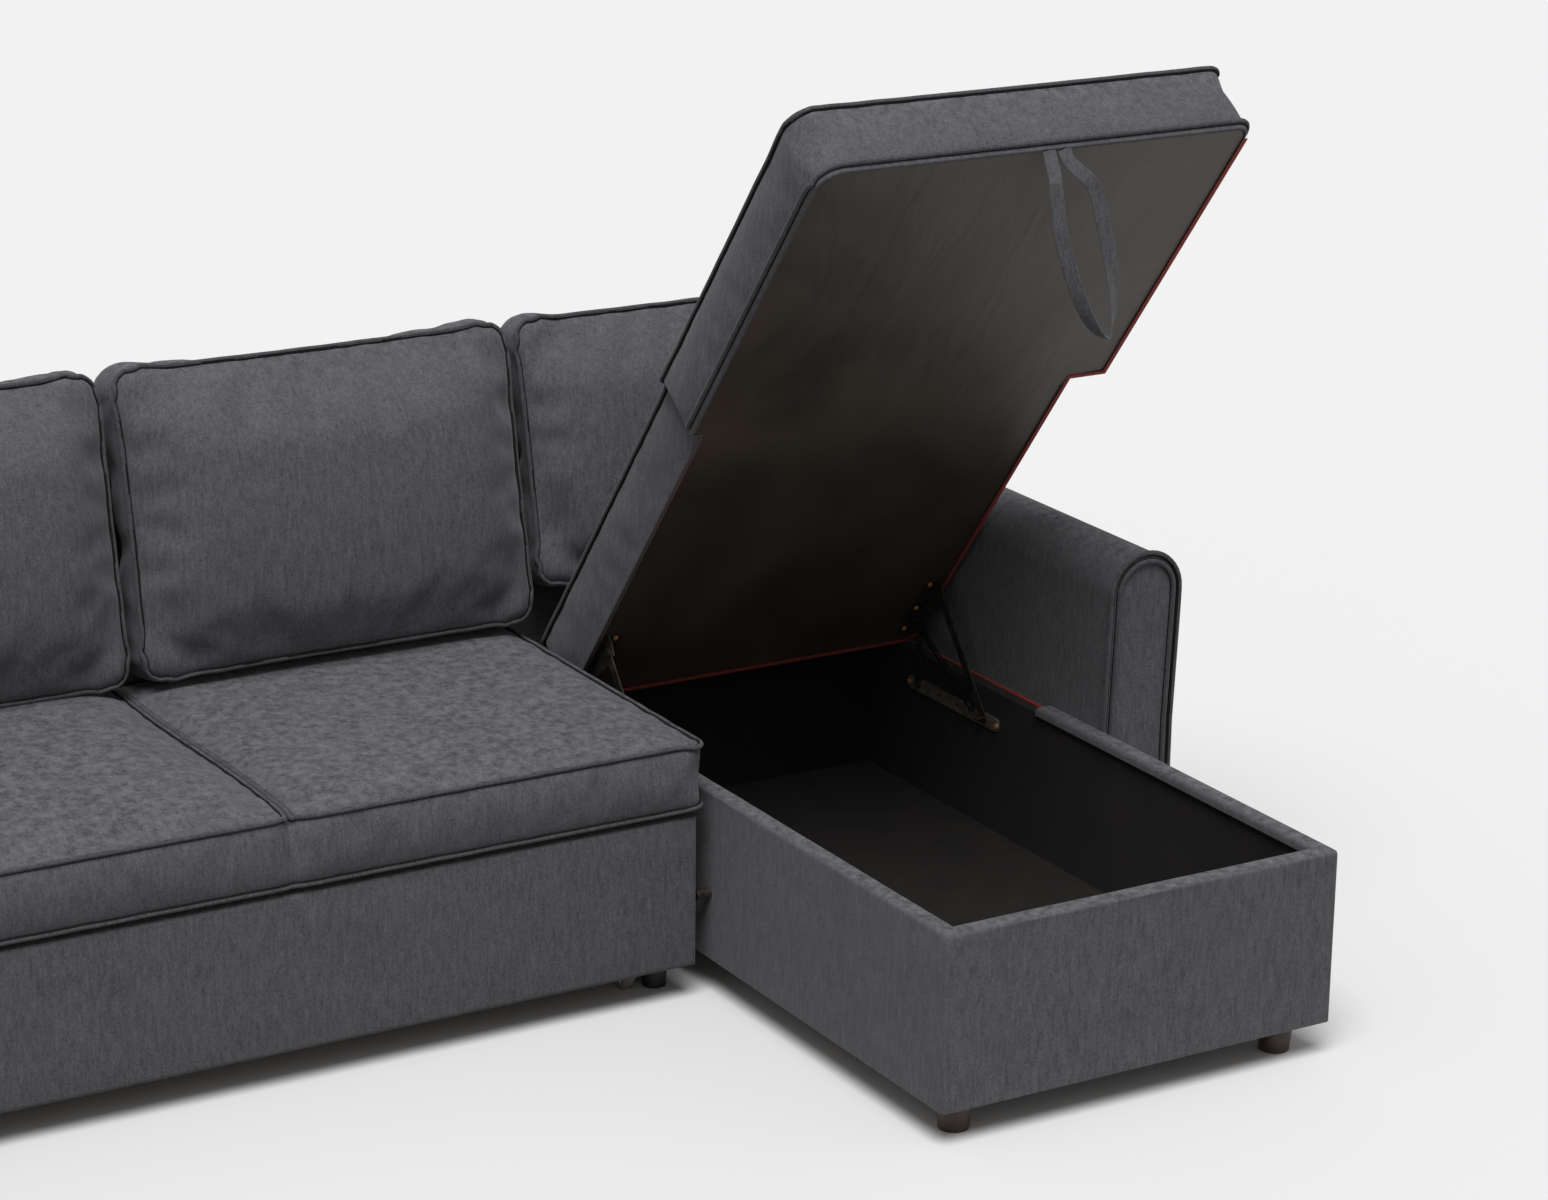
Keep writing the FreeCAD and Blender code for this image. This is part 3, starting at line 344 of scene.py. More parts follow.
# %% Dust cover, lining and binding
dust = Finish("dust_cover_cloth", Sheen_Weight=0.3, Sheen_Roughness=0.3, Specular_IOR_Level=0.45)
dust.shader.inputs["Sheen Tint"].default_value = (0.85, 0.8, 0.74, 1)
wide = dust.noise((3.0, 3.0, 3.0), 3.0, 0.6, 0.6)
fine = dust.noise((700, 700, 700), 2.0, 0.5)
dust.colour(dust.ramp(wide * 0.8 + fine * 0.2, (0.36, shade(44, 35, 27)), (0.66, shade(72, 62, 52))))
dust.rough(wide * 0.34 + 0.3)
dust.bump(wide * 0.5 + fine * 0.1 + dust.noise((14, 4, 4), 3.0, 0.5, 0.8) * 0.4, 0.008, 0.5)

lining = Finish("black_lining_cloth", Sheen_Weight=0.1, Specular_IOR_Level=0.3)
threads = lining.noise((600, 600, 600), 2.0, 0.6)
patches = lining.noise((11, 11, 11), 3.0, 0.5)
mottle = threads * 0.5 + patches * 0.5
lining.colour(lining.ramp(mottle, (0.35, shade(12, 9, 7)), (0.65, shade(28, 22, 18))))
lining.rough(patches * 0.2 + 0.62)
lining.bump(threads * 0.6 + patches * 0.4, 0.0015, 0.5)

red = Finish("red_binding_cloth", Sheen_Weight=0.15, Roughness=0.75)
ribs = red.noise((500, 500, 500), 2.0, 0.5)
apart = red.node("ShaderNodeSeparateXYZ", {}, {"Vector": red.place})
grey = red.ramp(ribs, (0.3, shade(50, 50, 52)), (0.7, shade(80, 80, 83)))
strong = red.ramp(ribs, (0.3, shade(112, 24, 12)), (0.7, shade(170, 46, 26)))
beyond = red.ramp(apart, (0.393, (0, 0, 0)), (0.397, (1, 1, 1)))
red.colour(red.blend(beyond, grey, strong))
red.bump(ribs, 0.0008, 0.5)
print("finishes:", dust.material.name, lining.material.name, red.material.name)

# %% [markdown]
# The hard parts need only a few finishes: raw softwood in the frames, stained feet, black
# lacquered steel, zinc, brass coloured screw heads and two plastics. The hinge steel and the
# wall bars are painted paler than their own colours: painted light, for the light that reaches
# them inside the shaded box.

# %% Wood, metal and plastic


def wood(name, dark, light, shine):
    """Long rings that wander a little, with fine pores along them."""
    finish = Finish(name, Specular_IOR_Level=0.4)
    rings = finish.noise((4, 38, 38), 4.0, 0.6, 1.2)
    pores = finish.noise((30, 700, 700), 2.0, 0.6)
    grain = rings * 0.7 + pores * 0.3
    finish.colour(finish.ramp(grain, (0.32, dark), (0.68, light)))
    finish.rough(pores * 0.2 + shine)
    finish.bump(grain, 0.0006, 0.4)
    return finish.material


def metal(name, dark, light, shine, metallic=1.0):
    finish = Finish(name, Metallic=metallic)
    wear = finish.noise((60, 60, 60), 4.0, 0.6)
    finish.colour(finish.ramp(wear, (0.3, dark), (0.7, light)))
    finish.rough(wear * 0.25 + shine)
    finish.bump(finish.noise((900, 900, 900), 2.0, 0.5), 0.0002, 0.4)
    return finish.material


softwood = wood("raw_softwood", shade(140, 116, 90), shade(178, 154, 124), 0.5)
slatwood = wood("slat_birch", shade(196, 160, 112), shade(228, 200, 160), 0.4)
footwood = wood("stained_foot", shade(56, 46, 41), shade(92, 77, 69), 0.32)
# Partly painted light: the hinge steel is black lacquer, painted a little paler than its own colour to
# stand in for the light that reaches it in the shaded box.
black_steel_painted_light = metal("black_lacquer_painted_light", shade(44, 42, 39), shade(88, 84, 79), 0.26, 0.6)
# Painted light: the wall bars are painted paler than their own grey, standing in for the light that
# reaches them inside the shaded box.
bar_steel_painted_light = metal("wall_bar_painted_light", shade(112, 108, 98), shade(156, 151, 139), 0.34, 0.6)
spring_steel = metal("dark_spring", shade(26, 25, 24), shade(66, 64, 62), 0.3, 0.8)
brass = metal("brass_screw", shade(214, 146, 78), shade(250, 202, 130), 0.25, 0.5)
zinc = metal("zinc_plate", shade(150, 150, 152), shade(196, 196, 198), 0.3)
plastic = metal("black_plastic", shade(18, 17, 17), shade(38, 37, 36), 0.42, 0.0)
grey_plastic = metal("caster_grey", shade(120, 112, 100), shade(152, 144, 131), 0.4, 0.0)
strapping = cloth_finish("webbing_strap", shade(150, 140, 120), shade(196, 186, 166))
print("hard finishes:", len(bpy.data.materials))

# %% [markdown]
# Boards, bars, screws and wheels come from the frame just as they are, and only get a finish.

# %% Finishes of the frame nodes that stay
STAY = {
    lining.material: ["chaise_lining", "chaise_bottom_board", "seat_frame"],
    red.material: ["lid_edge_binding"],
    softwood: ["chaise_front_board", "chaise_left_board", "chaise_right_board", "chaise_rear_board",
               "base_left_board", "base_right_board", "base_corner_blocks",
               "back_frame", "arm_left_frame", "arm_right_frame", "lid_board",
               "bed_front_board", "bed_frame"],
    slatwood: ["bed_slats"],
    footwood: ["chaise_front_feet", "chaise_rear_feet"],
    plastic: ["sofa_front_feet", "sofa_rear_feet"],
    bar_steel_painted_light: ["hinge_wall_plates"],
    black_steel_painted_light: ["section_connectors", "hinge_front_links", "hinge_rear_links", "hinge_lid_plates",
                  "hinge_wall_pins", "hinge_lid_pins", "hinge_rear_pins"],
    brass: ["hinge_wall_screws", "hinge_lid_screws"],
    zinc: ["caster_forks", "caster_axles"],
    grey_plastic: ["caster_wheel_1", "caster_wheel_2", "caster_wheel_3", "caster_wheel_4"],
    strapping: ["seat_webbing"],
}
for finish, names in STAY.items():
    for name in names:
        node = nodes[name]
        if not node.data.materials:
            node.data.materials.append(finish)
        for i in range(len(node.material_slots)):
            node.material_slots[i].material = finish
print(sum(len(names) for names in STAY.values()), "frame nodes dressed")

# %% [markdown]
# ## Cushions
# A boxed cushion starts as a block. Its upright corners are beveled round, and the rim of
# its top is marked as a seam: the welt is taken from it later, and the cloth is held along
# it. The block is cut into patches, and the top rises to a crown, steeply at first and
# then flatter, as foam does under a stretched cover.

# %% A boxed cushion from a block


def climb(distance, edge, power=2.3):
    """How much of the crown is reached at a distance from the seam, from 0 to 1."""
    share = max(0.0, min(1.0, distance / edge))
    return 1 - (1 - share) ** power


def crown(piece, x, y, rise, edge, sign=1):
    """Raise the flat top between two x and two y values, in metres."""
    top = max(sign * v.co.z for v in piece.data.vertices)
    for v in piece.data.vertices:
        if abs(sign * v.co.z - top) < 0.0005 and x[0] <= v.co.x <= x[1] and y[0] <= v.co.y <= y[1]:
            across = climb(min(v.co.x - x[0], x[1] - v.co.x), edge)
            deep = climb(min(v.co.y - y[0], y[1] - v.co.y), edge)
            v.co.z += sign * rise * across * deep


def boxed(name, x, y, z, corner, flat=False):
    """A block with round upright corners and a seam round its top."""
    piece = block(name, x, y, z, flat)
    edit(piece)
    pick("EDGE", lambda e: along(e, 2))
    bpy.ops.mesh.bevel(offset=corner / 1000, segments=4, profile=0.5)
    pick("FACE", lambda f: f.normal.z > 0.9)
    bpy.ops.mesh.region_to_loop()
    bpy.ops.mesh.mark_seam()
    done()
    return piece


print("half way to the crown is reached at", round(0.15 * (1 - 0.5 ** (1 / 2.3)), 3), "m from a seam")

# %% [markdown]
# Cloth simulation gives what a formula cannot: the small pulls along the seams and the
# full, slightly uneven faces. The cover is held along its seams, blown up a little from
# inside, and its movement is capped so that it keeps its outline.

# %% Cloth, blown up and held along its seams
waiting = []


def fill(piece, push=4.0, slack=0.02, cap=22, hold=lambda p: False):
    """Put a cushion in the queue for the cloth step."""
    held = piece.vertex_groups.new(name="held")
    stitched = {i for e in piece.data.edges if e.use_seam for i in e.vertices}
    fixed = [v.index for v in piece.data.vertices if v.index in stitched or hold(v.co)]
    held.add(fixed, 1.0, "REPLACE")
    cloth = piece.modifiers.new("Cloth", "CLOTH")
    rules = cloth.settings
    rules.quality = 5
    rules.mass = 0.4
    rules.tension_stiffness = 20
    rules.compression_stiffness = 20
    rules.shear_stiffness = 8
    rules.bending_stiffness = 0.6
    rules.use_pressure = True
    rules.uniform_pressure_force = push
    rules.shrink_min = -slack
    rules.vertex_group_mass = "held"
    rules.effector_weights.gravity = 0
    cloth.collision_settings.use_collision = False
    cloth.collision_settings.use_self_collision = False
    waiting.append((piece, cap / 1000))
    return piece


def run_cloth():
    """Step all the waiting cushions together, cap how far they moved, and apply."""
    before = {piece.name: [v.co.copy() for v in piece.data.vertices] for piece, cap in waiting}
    scene = bpy.context.scene
    for number in range(1, 21):
        scene.frame_set(number)
    for piece, cap in waiting:
        only(piece)
        bpy.ops.object.modifier_apply(modifier="Cloth")
        farthest = 0
        for v, start in zip(piece.data.vertices, before[piece.name]):
            move = v.co - start
            farthest = max(farthest, move.length)
            if move.length > cap:
                v.co = start + move * (cap / move.length)
        print(piece.name, "moved up to", round(farthest * 1000, 1), "mm")
    scene.frame_set(1)


def welt_from(piece, name, thick, proud, test=lambda p: True, ease=3):
    """A cord along the seams of a piece, taken from its own edges and set proud of them by some mm."""
    corners = [piece.data.vertices[i] for e in piece.data.edges if e.use_seam for i in e.vertices]
    outward = {tuple(round(c, 5) for c in v.co): v.normal.copy() for v in corners}
    edit(piece)
    count = pick("EDGE", lambda e: e.seam and test(middle(e)))
    bpy.ops.mesh.duplicate()
    bpy.ops.mesh.separate(type="SELECTED")
    done()
    cord = [o for o in bpy.context.selected_objects if o != piece][0]
    cord.name = name
    for v in cord.data.vertices:
        v.co += outward[tuple(round(c, 5) for c in v.co)] * (proud / 1000)
    if ease:
        edit(cord)
        bpy.ops.mesh.select_all(action="SELECT")
        bpy.ops.mesh.vertices_smooth(factor=0.5, repeat=ease)
        done()
    only(cord)
    for group in list(cord.vertex_groups):
        cord.vertex_groups.remove(group)
    bpy.ops.object.convert(target="CURVE")
    cord = bpy.context.object
    cord.data.bevel_depth = thick / 1000
    cord.data.bevel_resolution = 2
    bpy.ops.object.convert(target="MESH")
    cord = bpy.context.object
    cord.name = name
    edit(cord)
    bpy.ops.mesh.select_all(action="SELECT")
    bpy.ops.mesh.remove_doubles(threshold=0.0002)
    done()
    print(name, "follows", count, "edges")
    return cord


def sew_welt(piece, name, body, thick, *replaced, test=lambda p: True, ease=3):
    """The welt, and behind it a slightly thicker dark cord whose edges are painted shade: the shaded
    crease on both sides of the welt.
    """
    cord = welt_from(piece, name, thick, 0.8 * thick, test, ease)
    seam_shade_cord = welt_from(piece, name + "_stitching", thick + 0.5, 0.8 * thick - 1.8, test, ease)
    keep(cord, body, welt_cloth_painted_shade, *replaced)
    keep(seam_shade_cord, body, seam_shade.material)
    return cord


def finer(piece, levels=1):
    return use(piece, "SUBSURF", levels=levels, render_levels=levels)


def rest_on(piece, level):
    """Press the underside flat where the cushion sits."""
    for v in piece.data.vertices:
        if v.co.z < level / 1000:
            v.co.z = level / 1000


print("cushion helpers are ready")

# %% [markdown]
# The seat of the sofa part is one long pad whose top is sewn as two panels, with a welt
# round each and a deep crease between them. The boxing below is one strip with a second
# welt along its lower edge. LOW is the underside and LINE the height of the upper welt.

# %% Seat pad
LOW, LINE = 325, 445
ENDS, DEPTHS = (-1470, -20), (680, 1400)
DIVIDER, CREASE = -745, 8.5
seat = block("seat_cushion", ENDS, DEPTHS, (LOW - 0.6, LINE))
edit(seat)
pick("EDGE", lambda e: along(e, 2))
bpy.ops.mesh.bevel(offset=0.028, segments=6)
pick("FACE", lambda f: f.normal.z < -0.9)
bpy.ops.mesh.region_to_loop()
bpy.ops.mesh.mark_seam()
for offset in (-40, -29, -20, -14, -CREASE, 0, CREASE, 14, 20, 29, 40):
    slices(0, [spot(DIVIDER + offset, 0, 0).x])
split = spot(DIVIDER, 0, 0).x
for side in (-1, 1):
    pick("FACE", lambda f: f.normal.z > 0.9 and (middle(f).x - split) * side > 0.009)
    bpy.ops.mesh.region_to_loop()
    bpy.ops.mesh.mark_seam()
pick("VERT", lambda v: near(v.co.x, split, 0.001) and v.co.z > 0.44)
bpy.ops.transform.translate(value=(0, 0, -0.03))
done()
grid_cut(seat, 0.04)
for v in seat.data.vertices:
    beside = abs(v.co.x - split)
    if v.co.y < spot(0, 681, 0).y and beside < 0.04:
        height = (v.co.z * 1000 - LOW) / (LINE - LOW)
        v.co.y += 0.03 * (1 - beside / 0.04) ** 2 * (0.15 + 0.85 * height ** 3)
for panel_ends in ((ENDS[0], DIVIDER - CREASE), (DIVIDER + CREASE, ENDS[1])):
    crown(seat, [spot(v, 0, 0).x for v in panel_ends], [spot(0, v, 0).y for v in DEPTHS], 0.019, 0.15)
finer(seat)
fill(seat, 3.0, 0.015, 12, lambda p: p.z < 0.33 or abs(p.x - split) < 0.0095)
print("seat pad has", len(seat.data.vertices), "points")

# %% [markdown]
# The three back cushions are thinner and fuller. They are built lying down, with the crown
# upwards, and then leaned back by twelve degrees against the upholstered back.

# %% Back cushions


def back_cushion(name, left, wide, y, z, high, deep, rise):
    piece = boxed(name, (4, wide - 4), (4, high - 4), (12, deep), 46, True)
    grid_cut(piece, 0.04)
    for v in piece.data.vertices:
        if v.co.z > deep / 1000 - 0.0005:
            across = climb(min(v.co.x - 0.004, wide / 1000 - 0.004 - v.co.x), 0.17)
            below, above = climb(v.co.y - 0.004, 0.3, 1.9), climb(high / 1000 - 0.004 - v.co.y, 0.15)
            v.co.z += rise / 1000 * across * below * above
    crown(piece, (0.004, wide / 1000 - 0.004), (0.004, high / 1000 - 0.004), 0.010, 0.10, -1)
    for v in piece.data.vertices:
        share = (v.co.z - 0.012) / (deep / 1000 - 0.012)
        if 0.01 < share < 0.99:
            v.co += Vector((v.normal.x, v.normal.y, 0)) * (0.009 * math.sin(math.pi * share))
    finer(piece)
    piece.rotation_euler = (math.radians(78), 0, 0)
    piece.location = spot(left, y, z)
    settle(piece)
    return fill(piece, 4.5, 0.05, 24)


backs = [back_cushion("back_cushion_left_cover", -1466, 715, 1387.6, 449.1, 525, 110, 58),
         back_cushion("back_cushion_middle_cover", -733.75, 724, 1387.6, 449.1, 525, 110, 58),
         back_cushion("back_cushion_right_cover", 9, 715, 1397.6, 499.1, 473, 88, 34)]
print(len(backs), "back cushions")

# %% [markdown]
# The lift up seat is T-shaped: its front part is wider and reaches over the arm. It starts
# as a flat plate that is cut to the T, gets round corners, and is drawn up by its thickness.
# It is finished flat, then turned up on its hinges. Flat, it is measured in metres from its
# rear left corner: the stem is the narrow part, and the wings widen at the shoulders.

# %% Lift up seat cushion
TILT = math.radians(52.14)
STEM = (0.016, 0.724)
WINGS = (-0.004, 0.795)
SHOULDERS = (-0.734, -0.752)
FRONT = -1.37
THICK, SEAM_UP = 0.128, 0.005


def tee(name, edge=0.0):
    """A flat T-shaped plate; y runs forward as minus the distance from the rear edge."""
    bpy.ops.object.select_all(action="DESELECT")
    bpy.ops.mesh.primitive_plane_add(size=1, location=(sum(WINGS) / 2, FRONT / 2, 0))
    piece = bpy.context.object
    piece.name = name
    piece.scale = (WINGS[1] - WINGS[0] - 2 * edge, -FRONT - 2 * edge, 1)
    settle(piece)
    edit(piece)
    slices(0, [STEM[0] + edge, STEM[1] - edge])
    slices(1, [shoulder - edge for shoulder in SHOULDERS])
    pick("FACE", lambda f: (middle(f).x < STEM[0] + edge and middle(f).y > SHOULDERS[0] - edge)
         or (middle(f).x > STEM[1] - edge and middle(f).y > SHOULDERS[1] - edge))
    bpy.ops.mesh.delete(type="FACE")
    bpy.ops.mesh.select_all(action="SELECT")
    bpy.ops.mesh.dissolve_limited(angle_limit=0.01)
    corners = ((STEM[0], 0, 16), (STEM[1], 0, 16), (WINGS[1], FRONT, 26), (WINGS[0], FRONT, 44),
               (WINGS[1], SHOULDERS[1], 9), (WINGS[0], SHOULDERS[0], 8))
    for x, y, size in corners:
        pick("VERT", lambda v: abs(v.co.x - x) < 0.02 + edge and abs(v.co.y - y) < 0.03 + edge)
        bpy.ops.mesh.bevel(offset=size / 1000, segments=6, affect="VERTICES")
    done()
    return piece


rear_edge = spot(0, 1227.7, 340.5)
forward_way = Vector((0, -math.cos(TILT), math.sin(TILT)))
upward_way = Vector((0, math.sin(TILT), math.cos(TILT)))


def lid_place(p):
    """A place on the lift up seat: x, distance from its rear edge, height above its underside."""
    away = p - rear_edge
    return away.x, away.dot(forward_way), away.dot(upward_way)


lid = tee("lift_seat_cushion", 0.002)
edit(lid)
bpy.ops.mesh.select_all(action="SELECT")
bpy.ops.mesh.extrude_region_move(TRANSFORM_OT_translate={"value": (0, 0, THICK)})
pick("VERT", lambda v: v.co.z > 0.1 and v.co.y < -1.3)
bpy.ops.transform.translate(value=(0, -0.009, 0))
pick("VERT", lambda v: v.co.z > 0.1 and v.co.x > 0.7 and -0.8 < v.co.y < -0.74)
bpy.ops.transform.translate(value=(0, -0.028, 0))
pick("FACE", lambda f: f.normal.z > 0.9 and middle(f).z > 0.1)
bpy.ops.mesh.region_to_loop()
bpy.ops.mesh.mark_seam()
slices(2, [SEAM_UP])
pick("EDGE", lambda e: all(near(v.co.z, SEAM_UP, 0.0002) for v in e.verts))
bpy.ops.mesh.mark_seam()
pick("FACE", lambda f: f.normal.z < -0.9)
bpy.ops.mesh.inset(thickness=0.006)
bpy.ops.mesh.delete(type="FACE")
done()
grid_cut(lid, 0.04)
for v in lid.data.vertices:
    x, y = v.co.x, -v.co.y
    if v.co.z > THICK - 0.0001:
        from_left = x - STEM[0] + 0.02 * climb(y - 0.70, 0.09)
        from_right = STEM[1] - x + 0.071 * climb(y - 0.74, 0.12)
        edge = min(from_left, from_right, y, 1.377 - y)
        v.co.z += 0.012 * climb(edge, 0.13)
edit(lid)
bpy.ops.mesh.select_all(action="SELECT")
bpy.ops.mesh.normals_make_consistent(inside=False)
done()
finer(lid)
lid.rotation_euler = (-TILT, 0, 0)
lid.location = rear_edge
settle(lid)
fill(lid, 2.5, 0.012, 8, lambda p: lid_place(p)[2] < 0.004)
print("lift up seat has", len(lid.data.vertices), "points")

# %% [markdown]
# The pad of the pull-out bed is a plain foam mattress with soft edges.

# %% Bed pad
mattress = boxed("bed_mattress", (-1440, -68), (730, 1336), (209, 286), 22)
grid_cut(mattress, 0.06)
crown(mattress, reach(mattress, 0), reach(mattress, 1), 0.009, 0.12)
finer(mattress)
fill(mattress, 2.0, 0.01, 6, lambda p: p.z < 0.215)
print("bed pad has", len(mattress.data.vertices), "points")

# %% [markdown]
# All the cushions are blown up together. The crease of the seat pad then wanders a little,
# and the undersides are pressed flat where they rest.

# %% Run the cloth for all of them at once
run_cloth()
for piece in [seat, lid, mattress] + backs:
    finer(piece)
for v in seat.data.vertices:
    far = (v.co.x - split) / 0.12
    v.co.x += 0.005 * math.sin(8.5 * (v.co.y - spot(0, 680, 0).y)) * math.exp(-far * far)
rest_on(seat, LOW - 0.6)
for piece in backs[:2]:
    rest_on(piece, 466)
print("cloth is finished")

# %% [markdown]
# Each welt is a copy of the seam edges of its cushion, so it follows every pull of the cloth.
# A slightly thicker dark cord behind it is painted shade: its edges stand in for the shaded crease on
# both sides of the welt.

# %% Welts along the seams, and their bodies
for piece, name in zip(backs, ("left", "middle", "right")):
    sew_welt(piece, f"back_welt_{name}", "sofa", 4.2)
    keep(piece, "sofa", charcoal, f"back_cushion_{name}")
sew_welt(seat, "seat_welts", "sofa", 4.3)
keep(seat, "sofa", charcoal, "seat_pad")


def has_cord(p):
    """The lower seam has a welt only along the left side of the wide part and the front."""
    x, forward, up = lid_place(p)
    return up > 0.06 or forward > 1.3 or (x < 0.012 and forward > 0.745)


def beside_arm(p):
    """Beside the arm the red binding is flatter, so that the seat can close."""
    x, forward, up = lid_place(p)
    return not has_cord(p) and 0.7 < x < 0.74 and 0.02 < forward < 0.74


def has_red(p):
    """Red binding follows the lower edge along the right side and the rear."""
    x, forward, up = lid_place(p)
    return not has_cord(p) and (x > 0.3 or forward < 0.05) and not beside_arm(p)


sew_welt(lid, "lift_seat_welts", "lid", 4.3, test=has_cord)
keep(welt_from(lid, "lift_seat_red_cord", 4.4, 2.6, has_red), "lid", red.material)
keep(welt_from(lid, "lift_seat_red_side", 3.0, 0.8, beside_arm), "lid", red.material)
keep(lid, "lid", charcoal, "lid_cushion")
keep(mattress, "bed_unit", bed_cloth, "bed_pad")
print("welts are sewn")

# %% [markdown]
# ## Dust cover
# The underside is closed by one thin cloth, stapled round its edge. It is cut as the same
# T, a little smaller, and gets shallow waves from a noise so that light slides over it.

# %% Dust cover under the seat
cover = tee("seat_dust_cover", 0.008)
grid_cut(cover, 0.03)
finer(cover, 1)
for v in cover.data.vertices:
    x, y = v.co.x, -v.co.y
    edge = min(x - 0.024, 0.716 - x, y - 0.008, 1.362 - y) if y < 0.74 else min(x, 0.79 - x, 1.362 - y)
    calm = max(0.0, min(1.0, edge / 0.05))
    wave = 0.5 + 0.3 * math.sin(9 * x + 4 * y + 1.5 * math.sin(5 * y)) + 0.2 * math.sin(21 * x - 13 * y)
    v.co.z = 0.0012 - 0.0026 * calm * wave
use(cover, "SOLIDIFY", thickness=0.0008, offset=1)
cover.rotation_euler = (-TILT, 0, 0)
cover.location = rear_edge
settle(cover)
keep(cover, "lid", dust.material, "lid_dust_cover")
print("dust cover spans", [round(v, 3) for v in reach(cover, 1)])

# %% [markdown]
# ## Storage box cover
# The cloth runs up the outside of the box, over a padded rim and down inside. A block loses
# its high rear part, the rim is what stays of its top round the cut out mouth, with its inner
# edge drawn down inside, and the soft edges are bevels.

# %% Cover of the storage box
WIDTH, DEPTH, RIM = 733, 1372, 33
rim_top, bare_top = 0.347, 0.331
box = block("storage_box_cover", (0, WIDTH), (0, DEPTH), (57, 1000 * rim_top))
rim_end = spot(0, 800, 0).y
inside, inside_right = spot(RIM, RIM, 0), spot(WIDTH - RIM, 0, 0).x


def uncovered(face):
    """True above the bare rear boards, under the box and over its mouth."""
    place = middle(face)
    bare = place.y > rim_end and place.z > bare_top + 0.001
    mouth = face.normal.z > 0.9 and inside.x < place.x < inside_right and place.y > inside.y
    return bare or mouth or face.normal.z < -0.9


def mouth_edge(edge):
    place = middle(edge)
    return near(place.z, rim_top) and len(edge.link_faces) == 1 and place.y < rim_end - 0.001


def front_corner(edge):
    place = middle(edge)
    aside = min(abs(place.x - spot(v, 0, 0).x) for v in (0, WIDTH))
    return along(edge, 2) and place.y < spot(0, 5, 0).y and aside < 0.001


edit(box)
slices(0, [inside.x, inside_right])
slices(1, [inside.y, rim_end])
slices(2, [bare_top])
pick("FACE", uncovered)
bpy.ops.mesh.delete(type="FACE")
pick("EDGE", mouth_edge)
bpy.ops.mesh.extrude_region_move(TRANSFORM_OT_translate={"value": (0, 0, -0.016)})
for low, high in ((0, RIM), (WIDTH - RIM, WIDTH)):
    pick("VERT", lambda v: near(v.co.y, rim_end) and v.co.z > bare_top - 0.0005
         and spot(low - 1, 0, 0).x < v.co.x < spot(high + 1, 0, 0).x)
    bpy.ops.mesh.edge_face_add()
bpy.ops.mesh.select_all(action="SELECT")
bpy.ops.mesh.normals_make_consistent(inside=False)
pick("EDGE", front_corner)
bpy.ops.mesh.bevel(offset=0.009, segments=4)
pick("EDGE", lambda e: near(middle(e).z, rim_top) and sum(f.normal.z > 0.9 for f in e.link_faces) == 1)
bpy.ops.mesh.bevel(offset=0.008, segments=4)
slices(0, [spot(v, 0, 0).x for v in (13, 15, 17)])
pick("VERT", lambda v: near(v.co.x, spot(15, 0, 0).x) and v.co.y < spot(0, 20, 0).y)
bpy.ops.transform.translate(value=(0, 0.0016, 0))
done()
grid_cut(box, 0.06)
for v in box.data.vertices:
    x, y = v.co.x - SHIFT.x, v.co.y - SHIFT.y
    calm = 0.0 if v.co.z < 0.07 else 1.0
    if v.co.z > rim_top - 0.001 or min(abs(x), abs(x - WIDTH / 1000), abs(y)) < 0.0005:
        wave = math.sin(17 * x + 11 * y + 23 * v.co.z) * math.sin(13 * y - 7 * x + 5)
        inward = Vector((WIDTH / 2000 - x, DEPTH / 2000 - y, 0)).normalized()
        v.co += inward * (0.0008 * calm * (1 + wave))
use(box, "SOLIDIFY", thickness=0.003, offset=-1)
keep(box, "sofa", charcoal, "chaise_cover")
print("box cover has", len(box.data.polygons), "faces")

# %% [markdown]
# Behind the padded rim the bare board of the right side has a thin dark red edge.

# %% Red edge of the bare rim
trim = block("rim_red_edge", (727, 733.4), (806, 1180), (331.5, 334.5))
use(trim, "BEVEL", width=0.001, segments=2)
keep(trim, "sofa", red.material)
print("red edge has", len(trim.data.polygons), "faces")

# %% [markdown]
# ## Arms
# An arm is a tall box whose top is rounded right over. Two wide bevels along the upper
# edges make the round, and the front is finished by a flat panel inside a welt.

# %% Arms
ARM_X = (733, 866)
LEAN_FROM = 347


